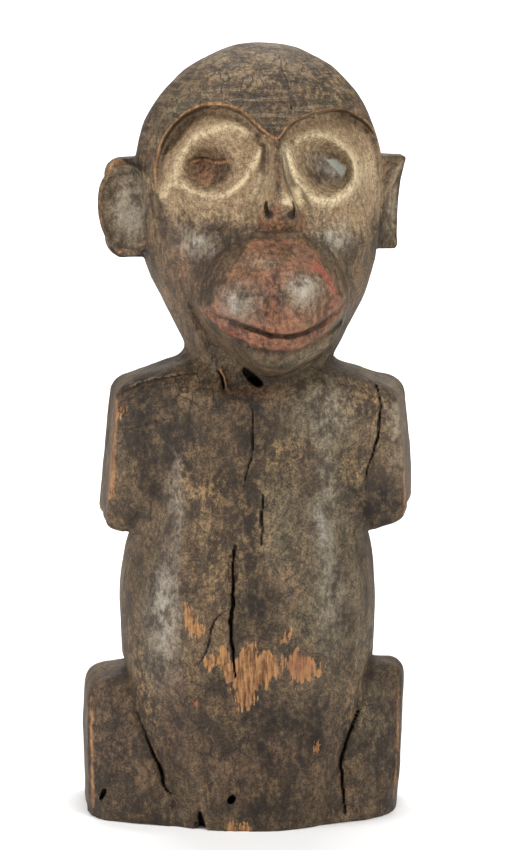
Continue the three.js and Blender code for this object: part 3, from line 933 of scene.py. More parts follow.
def detail_map():
    """Where the front holds marks as fine as a pixel or two, from 0 to 1."""
    fine = 0.8 * smoothstep(-8, -2, inside(FACE_OUTLINE, reach=12)) + smoothstep(-8, -2, inside(MUZZLE_SKIN, reach=12))
    for path in (CHIN_EDGE, LIP_SLIT, LOWER_LIP):
        fine += smoothstep(9, 4, path_distance(path, 9)[0])
    for path, half_width, _ in CRACKS.values():
        fine += smoothstep(6 + half_width, 2 + half_width, path_distance(path, 8)[0])
    for outline in [shape for shape, _ in HOLES.values()] + list(BARE_PATCHES.values()):
        fine += smoothstep(-6, -2, inside(outline, reach=8)) * 0.8
    return np.clip(fine, 0, 1).astype(np.float32)


def reduced(mesh, weight):
    """The mesh with its triangles brought down, most of all where the weight is high."""
    made = bpy.data.objects.new("dense", mesh)
    bpy.context.scene.collection.objects.link(made)
    triangles = len(mesh.loops) - 2 * len(mesh.polygons)
    modifier = made.modifiers.new("fewer", "DECIMATE")
    modifier.ratio = min(1.0, TRIANGLES / triangles)
    group = made.vertex_groups.new(name="plain")
    for level in range(1, 6):
        share = level / 5
        chosen = np.nonzero(np.abs(weight - share) <= 0.1)[0]
        group.add(chosen.tolist(), share, "REPLACE")
    modifier.vertex_group = group.name
    modifier.vertex_group_factor = 0.08
    bpy.context.view_layer.update()
    seen = made.evaluated_get(bpy.context.evaluated_depsgraph_get())
    result = bpy.data.meshes.new_from_object(seen)
    bpy.data.objects.remove(made)
    return result


def colour_maps():
    """Where each colour lies on the front, as picture maps from 0 to 1."""
    maps = {}
    into = inside(FACE_OUTLINE, reach=30)
    fade_from = 190 + 14 * smoothstep(250, 300, MAP_X)
    fade = 1 - smoothstep(fade_from, fade_from + 52, MAP_Y + 10 * RAGGED)
    left_pit, right_pit = spot(209, 168, 25, 21, -8, 4), spot(324, 170, 28, 18, 42, 3.5)
    pits = np.clip(left_pit + right_pit, 0, 1)
    maps["pale"] = smoothstep(-1, 4, into) * fade * (1 - 0.9 * pits)
    nose_line = [(277, 139), (278, 165), (278, 190), (274, 212)]
    maps["pale"] *= 1 - 0.75 * stroke(nose_line, 4.0)
    # painted highlight: light lines along the ears' crests and down the right ear's lit outer side
    maps["pale"] += 0.8 * stroke([(124, 163), (138, 171), (151, 183), (157, 192)], 1.6)
    maps["pale"] += 0.7 * stroke([(127, 251), (137, 247), (147, 241)], 1.5)
    maps["pale"] += 0.9 * stroke([(402, 163), (394, 177), (384, 197)], 1.6) + 0.5 * spot(391, 200, 4, 26, 8)
    # painted highlight, partly worn wood: light bands on the eye rings, on the nose's lit right side, under the right
    # eye and on the muzzle top
    ridge_wear_and_painted_highlight = 0.55 * stroke(LEFT_RING, 4.5) + 0.6 * stroke(LEFT_UNDER_RING, 3.5) + 0.55 * stroke(RIGHT_RING, 5)
    ridge_wear_and_painted_highlight += 0.95 * stroke([(284, 150), (288, 166), (294, 184), (302, 199)], 4.5) + 0.8 * spot(288, 202, 7, 7)
    ridge_wear_and_painted_highlight += 0.6 * stroke([(312, 200), (331, 203), (350, 190)], 5) + 0.4 * spot(366, 168, 9, 20)
    ridge_wear_and_painted_highlight += 0.5 * stroke([(262, 178), (256, 196)], 6) + 0.35 * spot(262, 262, 16, 9)
    maps["ridge_wear_and_painted_highlight"] = ridge_wear_and_painted_highlight
    skin = inside(MUZZLE_SKIN, reach=30) + 4 * RAGGED
    red = 0.62 * smoothstep(-2, 8, skin)
    red += 0.45 * stroke(LIP_BAND, 6) + 0.40 * spot(181, 250, 8, 24)
    red += 0.3 * stroke(nose_line, 4) + 0.25 * spot(280, 220, 22, 14) + 0.3 * spot(178, 285, 20, 50, -20) + 0.3 * spot(343, 305, 12, 34, 20) + 0.2 * spot(262, 358, 40, 10)
    maps["red"] = red * (1 - 0.75 * spot(241, 303, 19, 17, 20) - 0.9 * spot(305, 290, 19, 14, -15))
    vivid = 0.9 * stroke([(316, 266), (326, 277), (334, 291)], 4.5) + 0.6 * stroke([(206, 318), (228, 332), (254, 342)], 4)
    vivid += 0.2 * spot(262, 250, 14, 9) + 0.35 * spot(300, 318, 14, 8, -20) + 0.3 * spot(300, 345, 18, 5)
    vivid += 0.35 * spot(300, 262, 16, 8) + 0.3 * spot(184, 252, 6, 12)
    maps["vivid"] = vivid * (0.75 + 0.35 * RAGGED)
    # painted reflection, partly worn grey patina: pale grey patches where the lights shine on the cheeks, the muzzle's
    # lobes, the belly, the chest, the ears and the right pit
    grey_wear_and_painted_sheen = 0.85 * spot(305, 286, 17, 9, -8) + 0.55 * spot(303, 300, 15, 10) + 0.6 * spot(240, 302, 17, 16, 25)
    grey_wear_and_painted_sheen += 0.75 * spot(195, 243, 15, 12) + 0.9 * spot(337, 236, 15, 13) + 0.85 * spot(164, 620, 13, 46)
    grey_wear_and_painted_sheen += 0.45 * spot(326, 410, 26, 30) + 0.35 * spot(176, 505, 8, 50) + 0.45 * spot(326, 520, 9, 80) + 0.55 * spot(397, 420, 8, 34)
    grey_wear_and_painted_sheen += 0.35 * spot(322, 166, 20, 12, 42) + 0.3 * spot(335, 600, 12, 50)
    grey_wear_and_painted_sheen += 0.7 * spot(128, 208, 20, 36, 0, 3) + 0.6 * spot(392, 205, 6, 28, 8)
    maps["grey_wear_and_painted_sheen"] = grey_wear_and_painted_sheen
    # painted shade, partly brown patina: darker in the eye pits, the band under the brows, under the nose, along the
    # lip slit and lower lip, and under the chin
    umber_and_painted_shade = 0.8 * left_pit + 0.45 * right_pit + 1.0 * spot(273, 306, 11, 32, 0, 3) + 0.7 * stroke(nose_line, 3.5)
    umber_and_painted_shade += 0.9 * smoothstep(-2, 2, inside(NOSE_BASE, reach=8))
    umber_and_painted_shade += 0.5 * np.exp(-(((into - 6) / 5.0) ** 2)) * (1 - smoothstep(150, 190, MAP_Y))
    umber_and_painted_shade += 0.45 * stroke(LEFT_BAG, 4) + 0.3 * stroke(LOWER_LIP, 3)
    umber_and_painted_shade += 0.2 * spot(180, 300, 22, 60, -25) + 0.4 * spot(110, 460, 12, 70)
    umber_and_painted_shade += 0.4 * spot(250, 395, 60, 16) + 0.5 * stroke(LIP_SLIT, 4) + 0.4 * spot(388, 176, 8, 18)
    maps["umber_and_painted_shade"] = umber_and_painted_shade
    # real dark stains, with painted shade: the right shoulder block's lower corner, the shaded faces of the ear roots,
    # the creases where belly meets shoulders, the lower belly and the base
    stain_and_shade_spots = 1.0 * spot(148, 432, 36, 44) + 0.9 * spot(252, 430, 16, 50) + 0.6 * spot(225, 400, 34, 34)
    stain_and_shade_spots += 1.0 * spot(254, 620, 24, 44) + 0.9 * spot(245, 735, 62, 32) + 1.2 * spot(388, 500, 22, 22)
    stain_and_shade_spots += 0.6 * spot(215, 690, 24, 20) + 0.9 * spot(150, 385, 40, 13, -15) + 0.6 * spot(335, 655, 18, 30)
    stain_and_shade_spots += 0.7 * spot(300, 735, 46, 40) + 0.6 * spot(272, 308, 11, 30) + 0.3 * spot(196, 168, 12, 14)
    stain_and_shade_spots += 0.45 * spot(236, 158, 10, 12) + 0.6 * spot(322, 176, 20, 12, 42) + 0.7 * spot(240, 812, 130, 20)
    stain_and_shade_spots += 0.6 * spot(250, 530, 18, 60) + 0.45 * spot(110, 740, 26, 60) + 0.5 * spot(385, 740, 20, 60)
    stain_and_shade_spots += 0.3 * spot(175, 700, 26, 40) + 0.5 * spot(210, 110, 60, 26, -20) + 0.3 * spot(330, 90, 40, 26)
    stain_and_shade_spots += 0.6 * stroke([(128, 530), (142, 510), (160, 490)], 8) + 0.7 * stroke([(369, 527), (359, 500), (346, 480)], 8)
    stain_and_shade_spots += 0.8 * spot(141, 168, 7, 12, -35) + 1.0 * spot(387, 240, 6, 11) + 0.6 * spot(138, 252, 9, 5)
    maps["stain_and_painted_shade"] = stain_and_shade_spots
    # green-grey patina, with painted reflection: the greenish strip down the right of the belly and chest stands for
    # the sheen of the right light
    green_tint_and_painted_sheen = 0.8 * spot(330, 560, 40, 110) + 0.6 * spot(320, 410, 45, 45) + 0.6 * spot(337, 237, 17, 18)
    green_tint_and_painted_sheen += 0.4 * spot(250, 360, 60, 14) + 0.5 * spot(375, 720, 22, 50) + 0.4 * spot(300, 358, 30, 10)
    green_tint_and_painted_sheen += 0.6 * spot(180, 105, 30, 18, -35) + 0.5 * spot(225, 62, 34, 12) + 0.6 * spot(325, 100, 26, 12)
    green_tint_and_painted_sheen += 0.6 * spot(214, 242, 20, 14) + 0.5 * spot(182, 214, 10, 18) + 0.7 * right_pit + 0.5 * spot(300, 78, 20, 12)
    green_tint_and_painted_sheen += 0.5 * spot(392, 205, 8, 30, 8) + 0.5 * spot(150, 640, 18, 60) + 0.6 * spot(275, 520, 18, 80)
    maps["green_tint_and_painted_sheen"] = green_tint_and_painted_sheen
    ochre = 0.9 * spot(285, 452, 22, 12, -15) + 0.8 * spot(205, 493, 20, 14) + 0.8 * spot(365, 400, 26, 22)
    ochre += 0.7 * spot(183, 470, 9, 22) + 0.7 * spot(352, 470, 20, 16) + 0.5 * spot(215, 560, 26, 34)
    ochre += 0.6 * spot(240, 70, 60, 20) + 0.6 * spot(320, 90, 40, 25) + 0.5 * spot(255, 520, 14, 40)
    ochre += 0.45 * spot(205, 215, 30, 12) + 0.4 * spot(262, 262, 14, 16) + 0.8 * spot(354, 700, 10, 50, 15)
    ochre += 0.8 * spot(146, 690, 9, 50, -15) + 0.4 * spot(295, 560, 14, 20)
    maps["ochre"] = ochre
    plum = 0.7 * spot(172, 720, 32, 40) + 0.5 * spot(110, 710, 24, 50) + 0.5 * spot(290, 590, 20, 20)
    plum += 0.5 * spot(190, 550, 10, 20) + 0.5 * spot(210, 265, 18, 20) + 0.4 * spot(250, 770, 70, 22)
    plum += 0.6 * spot(262, 96, 24, 9) + 0.5 * spot(200, 82, 18, 9) + 0.6 * spot(190, 258, 12, 16)
    plum += 0.7 * spot(300, 665, 20, 18) + 0.5 * spot(118, 380, 20, 16) + 0.5 * spot(240, 400, 24, 20)
    plum += 0.5 * spot(300, 745, 24, 14) + 0.5 * spot(285, 570, 16, 14) + 0.4 * spot(262, 300, 10, 20)
    maps["plum"] = plum
    sheen = spot(166, 622, 18, 52) + 0.8 * spot(176, 500, 9, 50) + 1.0 * spot(240, 305, 22, 20)
    sheen += 1.0 * spot(305, 292, 22, 18) + 0.9 * spot(195, 243, 20, 16) + 0.8 * spot(336, 238, 16, 16)
    sheen += 0.7 * spot(325, 520, 12, 110) + 0.9 * spot(324, 168, 22, 16, 42) + 0.5 * spot(396, 430, 10, 60)
    sheen += 0.5 * spot(273, 265, 40, 20) + 0.5 * spot(284, 200, 10, 14)
    maps["sheen"] = sheen
    bare = np.full(MAP_X.shape, -99.0, np.float32)
    for name, outline in BARE_PATCHES.items():
        bare = np.maximum(bare, inside(outline, reach=14) - (2.5 if name == "rosy" else 0))
    maps["bare"] = np.clip(0.5 + (bare + 1.5 * RAGGED) / 24, 0, 1)
    edge = 0.9 * np.exp(-(((into + 0.6) / 1.7) ** 2)) * (1 - smoothstep(170, 215, MAP_Y))
    edge *= 0.72 + 0.28 * smoothstep(290, 255, MAP_X)
    edge += 0.8 * stroke(CHIN_EDGE, 1.3) * smoothstep(300, 250, MAP_X) + 0.25 * stroke(CHIN_EDGE, 1.3)
    edge += 1.3 * stroke([(115, 402), (113, 430), (111.5, 467), (110.5, 496)], 3.2)
    # the stroke down the left hip's front edge is painted highlight, lighter where the cut face turns towards the left
    # light; the other strokes are worn edges
    edge += 0.9 * stroke([(405, 470), (405, 494), (404, 514)], 1.6) + 0.75 * stroke([(92, 696), (91.5, 740), (93, 806)], 2.4)
    edge += 0.6 * stroke([(398, 690), (398, 730), (394, 800)], 2.2)
    edge += 0.9 * stroke([(108, 172), (113, 164), (122, 162)], 3.5) + 0.5 * stroke([(103, 182), (101, 205), (104, 235)], 1.6)
    edge += 0.7 * stroke([(117, 253), (127, 249)], 2.5) + 0.35 * stroke([(384, 204), (388, 222), (393, 238)], 1.5)
    edge += 0.3 * stroke(CRACKS["belly"][0], 3.2) + 0.9 * stroke([(220, 368), (224, 378), (227, 388)], 1.3)
    edge += 0.75 * stroke(LEFT_GASH, 2.2, jagged=1.5) + 0.4 * stroke([(280, 118), (283, 126)], 1.5)
    maps["edge"] = edge
    cracked = 1.0 * spot(108, 740, 30, 75, 0, 4) + 0.9 * spot(378, 740, 26, 70, 0, 4) + 0.9 * spot(165, 388, 60, 24)
    cracked += 0.7 * spot(250, 80, 100, 34) + 0.4 * spot(230, 740, 60, 50)
    maps["cracked"] = cracked
    # painted shade: near black in the cracks, holes, lip slit and nostrils, where shadow falls
    split = np.zeros(MAP_X.shape, np.float32)
    for shape in CRACKS.values():
        split = np.maximum(split, np.minimum(crack(*shape) / 2, 1))
    for outline, _ in HOLES.values():
        split = np.maximum(split, smoothstep(-1, 1, inside(outline, 0.6, reach=8)))
    ends = smoothstep(205, 225, MAP_X) * (1 - smoothstep(318, 340, MAP_X))
    split = np.maximum(split, 0.6 * stroke(LIP_SLIT, 1.2) * ends + 0.2 * stroke(LOWER_LIP, 1.2))
    maps["split"] = np.maximum(split, 0.75 * spot(270, 214, 3.5, 5) + 0.75 * spot(292, 216, 4, 5.5))
    # painted reflection: a pale grey patch in the right eye pit, standing for a glint on its glossy filling
    maps["flake"] = smoothstep(-0.5, 1.0, inside([(326, 159), (336, 159), (347, 168), (342, 178)], smooth=False, reach=8))
    return maps


def paint(mesh):
    """Stores on the vertices where each colour and finish lies."""
    points = points_of(mesh)
    normals = normals_of(mesh)
    x, y, z = points.T.copy()
    px, py = to_picture(x, y, z)
    to_camera = np.array([0, -math.cos(ELEVATION), math.sin(ELEVATION)])
    facing = smoothstep(0.05, 0.35, normals @ to_camera)
    for name, table in colour_maps().items():
        value = np.clip(lookup(table, px, py), 0, 1) * facing
        store(mesh, name, value)
    # how far each point lies in a hollow or crease; the finish darkens hollows as painted shade
    for name, reach in (("hollow", 5.0), ("crease", 1.8)):
        out = points + normals * reach
        store(mesh, name, np.clip(1 - figure_distance(*out.T.copy()) / reach, 0, 1))
    deep = points - normals * 2.2
    store(mesh, "worn", np.clip(1 + figure_distance(*deep.T.copy()) / 2.2, 0, 1))


def store(mesh, name, value):
    attribute = mesh.attributes.new(name, "FLOAT", "POINT")
    attribute.data.foreach_set("value", value.astype(np.float32))


def build_figure():
    t0 = time.time()
    RELIEFS["head"] = head_relief()
    RELIEFS["body"] = body_relief()
    print("TIME reliefs", round(time.time() - t0, 1))
    field, low = sample_field()
    print("TIME field", round(time.time() - t0, 1))
    points, quads = main_body(*surface_net(field, low))
    print("TIME net", round(time.time() - t0, 1))
    mesh = mesh_of("figure_dense", points, quads)
    print("TIME mesh", round(time.time() - t0, 1))
    points = points_of(mesh)
    normals = normals_of(mesh)
    points += normals * tool_marks(points)[:, None]
    points[:, 2] = np.maximum(points[:, 2], 0.0)
    mesh.vertices.foreach_set("co", points.ravel())
    mesh.update()
    behind = smoothstep(-20, 20, points[:, 1])
    marked = lookup(detail_map(), *to_picture(*points.T.copy())) * (1 - behind)
    plain = 0.5 * (1 - marked) + 0.5 * behind
    print("dense", len(points), len(quads))
    print("TIME marks", round(time.time() - t0, 1))
    small = reduced(mesh, plain)
    print("TIME reduced", round(time.time() - t0, 1))
    paint(small)
    print("TIME paint", round(time.time() - t0, 1))
    points = points_of(small)
    points = (points + np.array(MODEL_TO_FRAME)) / 1000
    small.vertices.foreach_set("co", points.astype(np.float32).ravel())
    small.polygons.foreach_set("use_smooth", np.ones(len(small.polygons), bool))
    small.update()
    print("figure", len(small.vertices), "vertices", len(small.polygons), "faces")
    figure = bpy.data.objects.new("carved_figure", small)
    bpy.context.scene.collection.objects.link(figure)
    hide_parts("monkey_figure")
    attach(figure, "root")
    return figure


# Finish
def linear(colour):
    """A hex sRGB colour as linear RGBA."""
    parts = [int(colour[n : n + 2], 16) / 255 for n in (1, 3, 5)]
    return tuple(c / 12.92 if c < 0.04045 else ((c + 0.055) / 1.055) ** 2.4 for c in parts) + (1.0,)


class Finish:
    """A node material, written as nested calls."""

    def __init__(self, name):
        self.material = bpy.data.materials.new(name)
        self.material.use_nodes = True
        self.tree = self.material.node_tree
        self.tree.nodes.clear()
        self.place = self.node("ShaderNodeTexCoord").outputs["Object"]
        split = self.node("ShaderNodeSeparateXYZ")
        self.feed(split.inputs[0], self.place)
        self.height = split.outputs["Z"]

    def node(self, kind, **settings):
        made = self.tree.nodes.new(kind)
        for key, value in settings.items():
            setattr(made, key, value)
        return made

    def feed(self, socket, value):
        if isinstance(value, bpy.types.NodeSocket):
            self.tree.links.new(value, socket)
        else:
            socket.default_value = value

    def maths(self, operation, *values):
        made = self.node("ShaderNodeMath", operation=operation)
        for socket, value in zip(made.inputs, values):
            self.feed(socket, value)
        return made.outputs[0]

    def add(self, *values):
        total = values[0]
        for value in values[1:]:
            total = self.maths("ADD", total, value)
        return total

    def times(self, *values):
        total = values[0]
        for value in values[1:]:
            total = self.maths("MULTIPLY", total, value)
        return total

    def step(self, value, low, high):
        made = self.node("ShaderNodeMapRange", interpolation_type="SMOOTHSTEP")
        self.feed(made.inputs["Value"], value)
        made.inputs["From Min"].default_value = low
        made.inputs["From Max"].default_value = high
        return made.outputs["Result"]

    def scaled(self, stretch):
        made = self.node("ShaderNodeMapping")
        self.feed(made.inputs["Vector"], self.place)
        made.inputs["Scale"].default_value = stretch
        return made.outputs["Vector"]

    def noise(self, scale, detail=3.0, roughness=0.55, stretch=(1, 1, 1), shift=0.0, distortion=0.0):
        made = self.node("ShaderNodeTexNoise", noise_dimensions="4D")
        self.feed(made.inputs["Vector"], self.scaled(stretch))
        made.inputs["W"].default_value = shift
        made.inputs["Scale"].default_value = scale
        made.inputs["Detail"].default_value = detail
        made.inputs["Roughness"].default_value = roughness
        made.inputs["Distortion"].default_value = distortion
        return made.outputs["Fac"]

    def crackle(self, scale, wander, stretch=(1, 1, 1)):
        """Distance from the edges of irregular cells, small on the lines between them."""
        warp = self.node("ShaderNodeTexNoise")
        self.feed(warp.inputs["Vector"], self.place)
        warp.inputs["Scale"].default_value = scale * 1.3
        warp.inputs["Detail"].default_value = 3.0
        moved = self.node("ShaderNodeVectorMath", operation="MULTIPLY_ADD")
        self.feed(moved.inputs[0], warp.outputs["Color"])
        moved.inputs[1].default_value = (wander,) * 3
        self.feed(moved.inputs[2], self.scaled(stretch))
        cells = self.node("ShaderNodeTexVoronoi", feature="DISTANCE_TO_EDGE")
        self.feed(cells.inputs["Vector"], moved.outputs[0])
        cells.inputs["Scale"].default_value = scale
        return cells.outputs["Distance"]

    def mark(self, name):
        return self.node("ShaderNodeAttribute", attribute_name=name).outputs["Fac"]

    def mix(self, share, a, b, kind="MIX"):
        made = self.node("ShaderNodeMix", data_type="RGBA", blend_type=kind)
        self.feed(made.inputs[0], share)
        self.feed(made.inputs[6], linear(a) if isinstance(a, str) else a)
        self.feed(made.inputs[7], linear(b) if isinstance(b, str) else b)
        return made.outputs[2]

    def bump(self, height, distance, strength=1.0, normal=None):
        made = self.node("ShaderNodeBump")
        made.inputs["Strength"].default_value = strength
        made.inputs["Distance"].default_value = distance
        self.feed(made.inputs["Height"], height)
        if normal is not None:
            self.feed(made.inputs["Normal"], normal)
        return made.outputs["Normal"]


def wood_finish():
    w = Finish("patinated_wood")
    fine = w.noise(900, 3, 0.65)
    speck = w.noise(330, 4, 0.7, (1, 1, 0.75), 2.0)
    blotch = w.noise(95, 5, 0.6, (1, 1, 0.7), 4.0, 0.3)
    broad = w.noise(22, 4, 0.55, (1, 1, 0.6), 6.0)
    fibre = w.noise(520, 3, 0.6, (1, 1, 0.10), 8.0)
    streak = w.noise(150, 4, 0.6, (1, 1, 0.08), 9.0)
    hairs = w.noise(260, 3, 0.7, (0.12, 0.12, 1.2), 11.0, 0.2)

    colour = w.mix(w.step(broad, 0.34, 0.66), "#4d3a29", "#715b43")
    colour = w.mix(w.times(w.step(blotch, 0.54, 0.40), 0.62), colour, "#33261b")
    colour = w.mix(w.times(w.step(streak, 0.48, 0.66), 0.35), colour, "#7e6b4e")
    crust = w.step(w.add(w.times(speck, 0.55), w.times(blotch, 0.45)), 0.50, 0.66)
    colour = w.mix(w.times(crust, 0.35), colour, "#8a7252")
    # green-grey tint, partly painted sheen on the right side
    green_tint_and_painted_sheen = w.times(w.mark("green_tint_and_painted_sheen"), w.step(w.add(broad, w.times(blotch, 0.5)), 0.55, 0.95))
    colour = w.mix(w.times(w.add(green_tint_and_painted_sheen, 0.08), 0.75), colour, "#6b6a56")
    plum = w.times(w.mark("plum"), w.step(w.add(blotch, w.times(speck, 0.5)), 0.55, 0.95))
    colour = w.mix(w.times(plum, 0.65), colour, "#6f4d42")
    ochre = w.times(w.add(w.mark("ochre"), 0.12), w.step(w.add(speck, w.times(blotch, 0.6)), 0.74, 0.92))
    colour = w.mix(w.times(ochre, 0.8), colour, "#a2855c")
    # dark stains together with painted shade on shaded faces and creases
    stain_and_shade_amount = w.add(w.mark("stain_and_painted_shade"), w.times(w.step(broad, 0.56, 0.34), 0.35))
    stain_and_painted_shade = w.times(stain_and_shade_amount, w.add(0.35, w.times(w.step(w.add(blotch, w.times(speck, 0.4)), 0.90, 0.50), 0.65)))
    colour = w.mix(w.maths("MINIMUM", w.times(stain_and_painted_shade, 0.95), 0.92), colour, "#20170f")
    upper = w.step(w.height, 0.425, 0.47)
    colour = w.mix(w.times(upper, w.step(hairs, 0.48, 0.66), 0.6), colour, "#8f7d63")
    colour = w.mix(w.times(upper, w.step(hairs, 0.46, 0.36), 0.5), colour, "#3b2d22")

    pale_tone = w.mix(w.step(w.add(w.times(speck, 0.6), w.times(fine, 0.4)), 0.35, 0.65), "#7a6147", "#ab9473")
    pale = w.step(w.add(w.mark("pale"), w.times(w.add(blotch, -0.5), 0.8)), 0.05, 0.75)
    colour = w.mix(w.times(pale, 0.85), colour, pale_tone)
    # painted highlight over worn ridges: a pale tan laid on the eye rings and the nose's lit side
    ridge_wear_and_painted_highlight = w.times(w.mark("ridge_wear_and_painted_highlight"), w.step(w.add(speck, w.times(fine, 0.5)), 0.45, 0.80))
    colour = w.mix(w.times(ridge_wear_and_painted_highlight, 0.95), colour, "#dcc8a2")
    # painted shade, partly brown patina: in pits, troughs and under the nose and chin
    umber_tone = w.mix(w.step(w.add(w.times(speck, 0.6), w.times(blotch, 0.4)), 0.40, 0.60), "#38251a", "#80593c")
    umber_and_painted_shade = w.step(w.add(w.mark("umber_and_painted_shade"), w.times(w.add(blotch, -0.5), 0.7)), 0.1, 0.9)
    colour = w.mix(w.times(umber_and_painted_shade, 0.7), colour, umber_tone)
    red_tone = w.mix(w.step(w.add(w.times(speck, 0.5), w.times(blotch, 0.5)), 0.38, 0.60), "#4a291b", "#97654b")
    red = w.step(w.add(w.mark("red"), w.times(w.add(blotch, -0.5), 1.2)), 0.1, 0.9)
    colour = w.mix(w.times(red, 0.8), colour, red_tone)
    vivid = w.step(w.add(w.mark("vivid"), w.times(w.add(speck, -0.5), 1.0)), 0.2, 0.8)
    colour = w.mix(w.times(vivid, 0.7), colour, "#a5543f")
    # painted reflection over worn grey: pale grey patches standing for the sheen of the lights
    grey_wear_and_painted_sheen = w.times(w.mark("grey_wear_and_painted_sheen"), w.step(w.add(blotch, w.times(speck, 0.5)), 0.60, 0.85))
    colour = w.mix(w.times(grey_wear_and_painted_sheen, 0.8), colour, "#a6a08f")

    calm = w.maths("MAXIMUM", w.maths("MAXIMUM", w.mark("grey_wear_and_painted_sheen"), w.mark("red")), w.times(w.mark("pale"), 0.8))
    pores = w.step(w.add(w.times(fine, 0.55), w.times(speck, 0.45)), 0.60, 0.40)
    colour = w.mix(w.times(pores, w.add(0.85, w.times(calm, -0.55))), colour, "#7f7366", "MULTIPLY")
    # painted shade: darker where the surface lies in a hollow
    painted_hollow_shade = w.step(w.add(w.mark("hollow"), w.times(w.add(blotch, -0.5), 0.4)), 0.12, 0.75)
    colour = w.mix(w.times(painted_hollow_shade, 0.65), colour, "#261b12")
    lines = w.times(w.step(w.crackle(75, 0.012, (1, 1, 0.75)), 0.032, 0.010), w.step(broad, 0.40, 0.56))
    net = w.times(w.step(w.crackle(170, 0.009, (1, 1, 0.8)), 0.050, 0.015), w.step(broad, 0.60, 0.42))
    hair_lines = w.times(w.step(hairs, 0.42, 0.34), 0.5)
    dark_lines = w.maths("MAXIMUM", w.maths("MAXIMUM", lines, w.times(net, 0.5)), hair_lines)
    dark_lines = w.times(dark_lines, w.add(0.55, w.times(w.mark("cracked"), 0.75)), w.add(1.0, w.times(calm, -0.8)))
    colour = w.mix(w.times(dark_lines, 0.75), colour, "#1b130c")

    rub = w.step(w.add(w.mark("worn"), w.times(w.add(blotch, -0.5), 0.7)), 0.55, 0.95)
    colour = w.mix(w.times(rub, 0.40), colour, "#a58c6c")
    wood_tone = w.mix(w.step(w.add(w.times(fibre, 0.7), w.times(speck, 0.3)), 0.38, 0.62), "#5f3d24", "#ab7f54")
    edge = w.step(w.add(w.mark("edge"), w.times(w.add(speck, -0.5), 0.6)), 0.25, 0.7)
    colour = w.mix(w.times(edge, 0.8), colour, wood_tone)
    spikes = w.add(w.times(w.add(fibre, -0.5), 1.0), w.times(w.add(streak, -0.5), 0.9), w.times(w.add(blotch, -0.5), 0.9))
    ragged = w.add(w.mark("bare"), spikes, w.times(w.add(speck, -0.5), 0.5))
    bare = w.step(ragged, 0.46, 0.56)
    colour = w.mix(w.times(bare, 0.9), colour, wood_tone)
    colour = w.mix(w.times(bare, w.mark("plum"), 0.7), colour, "#7c4f3c")
    # painted reflection: a pale grey glint in the right eye
    colour = w.mix(w.times(w.mark("flake"), 0.8), colour, "#9a9d92")
    # painted shade: near black in the cracks, holes, the lip slit and the nostrils
    colour = w.mix(w.times(w.mark("split"), 0.9), colour, "#120c08")

    shine = w.add(w.mark("sheen"), w.times(w.step(broad, 0.4, 0.65), 0.25))
    matte = w.add(0.66, w.times(w.add(speck, -0.5), 0.35), w.times(shine, -0.24), w.times(bare, 0.25))
    rough = w.maths("MINIMUM", w.maths("MAXIMUM", matte, 0.30), 0.95)
    coat = w.times(w.mark("sheen"), w.step(w.add(blotch, w.times(speck, 0.5)), 0.60, 0.85), 0.45)

    relief = w.add(w.times(fine, 0.30), w.times(speck, 0.65), w.times(blotch, 0.9), w.times(streak, 0.35))
    relief = w.add(relief, w.times(dark_lines, -0.5), w.times(bare, w.add(w.times(fibre, 1.0), -0.8)))
    normal = w.bump(relief, 0.0013, 0.85)
    shader = w.node("ShaderNodeBsdfPrincipled")
    w.feed(shader.inputs["Base Color"], colour)
    w.feed(shader.inputs["Roughness"], rough)
    w.feed(shader.inputs["Normal"], normal)
    w.feed(shader.inputs["Coat Weight"], coat)
    shader.inputs["Coat Roughness"].default_value = 0.22
    shader.inputs["Specular IOR Level"].default_value = 0.30
    output = w.node("ShaderNodeOutputMaterial")
    w.tree.links.new(shader.outputs["BSDF"], output.inputs["Surface"])
    return w.material


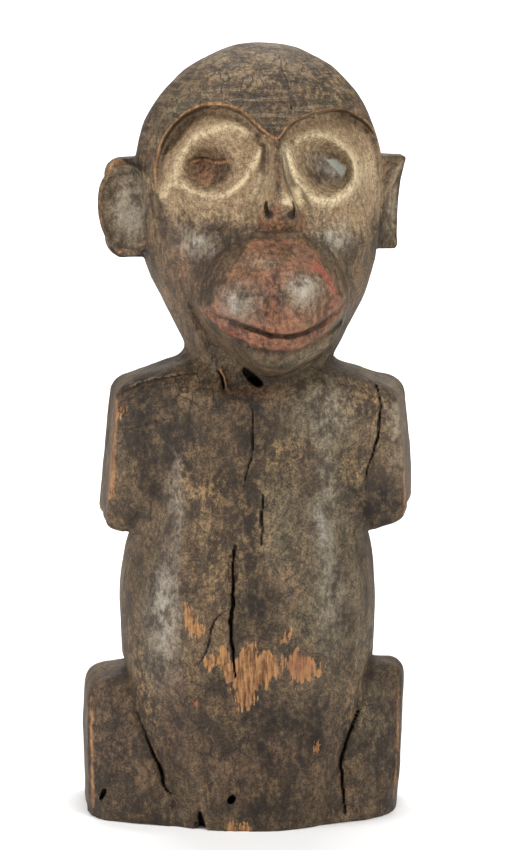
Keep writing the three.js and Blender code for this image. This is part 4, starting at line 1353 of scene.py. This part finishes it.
# Setting
def backdrop():
    """A pale floor that narrows as it runs back and curves up into a wall."""
    flat, radius, tall, wide, narrow = 1.6, 1.2, 3.2, 4.0, 0.8
    turn = np.linspace(0, math.pi / 2, 25)
    line = [(-6.0, 0.0, wide), (0.8, 0.0, wide)]
    line += [(flat + radius * math.sin(t), radius * (1 - math.cos(t)), narrow) for t in turn]
    line.append((flat + radius, tall, narrow))
    points = np.array([(side * half, y, z) for y, z, half in line for side in (-1, 1)])
    faces = np.array([[2 * n, 2 * n + 1, 2 * n + 3, 2 * n + 2] for n in range(len(line) - 1)])
    mesh = mesh_of("backdrop", points, faces)
    mesh.polygons.foreach_set("use_smooth", np.ones(len(faces), bool))
    sweep = bpy.data.objects.new("backdrop", mesh)
    bpy.context.scene.collection.objects.link(sweep)
    material = bpy.data.materials.new("pale_paper")
    material.use_nodes = True
    shader = material.node_tree.nodes["Principled BSDF"]
    shader.inputs["Base Color"].default_value = (0.9, 0.9, 0.9, 1)
    shader.inputs["Roughness"].default_value = 0.9
    shader.inputs["Specular IOR Level"].default_value = 0.1
    sweep.data.materials.append(material)


def soft_light(name, place, towards, size, power, tint=(1, 1, 1)):
    data = bpy.data.lights.new(name, "AREA")
    data.shape = "RECTANGLE"
    data.size, data.size_y = size
    data.energy = power
    data.color = tint
    light = bpy.data.objects.new(name, data)
    light.location = place
    light.rotation_mode = "QUATERNION"
    light.rotation_quaternion = (Vector(towards) - Vector(place)).to_track_quat("-Z", "Y")
    bpy.context.scene.collection.objects.link(light)


def lights():
    middle = (0.0, 0.0, 0.28)
    soft_light("left_box", (-1.45, -0.75, 0.65), middle, (0.6, 1.3), 24, (1.0, 0.98, 0.96))
    soft_light("right_box", (1.10, -1.15, 0.95), middle, (0.5, 1.1), 21, (1.0, 0.99, 0.97))
    soft_light("top_box", (0.15, -0.90, 1.70), middle, (0.7, 0.7), 10)
    soft_light("wall_wash", (0.0, 1.0, 2.6), (0.0, 2.6, 0.3), (1.8, 0.6), 90)
    world = bpy.data.worlds.new("pale_room")
    world.use_nodes = True
    sky = world.node_tree.nodes["Background"]
    sky.inputs["Color"].default_value = (1, 1, 1, 1)
    sky.inputs["Strength"].default_value = 0.25
    bpy.context.scene.world = world


def camera():
    data = bpy.data.cameras.new("camera")
    data.sensor_width = LONG_SENSOR
    data.lens = FOCAL_PIXELS * LONG_SENSOR / PICTURE[1]
    made = bpy.data.objects.new("camera", data)
    target = (Vector(TARGET) + Vector(MODEL_TO_FRAME)) / 1000
    back = Vector((0, -math.cos(ELEVATION), math.sin(ELEVATION)))
    made.location = target + back * DISTANCE / 1000
    made.rotation_mode = "QUATERNION"
    made.rotation_quaternion = (-back).to_track_quat("-Z", "Y")
    data.clip_start, data.clip_end = 0.05, 200.0
    bpy.context.scene.collection.objects.link(made)
    bpy.context.scene.camera = made


camera()
lights()
backdrop()
figure = build_figure()
figure.data.materials.append(wood_finish())
bpy.context.scene.view_settings.view_transform = "Standard"
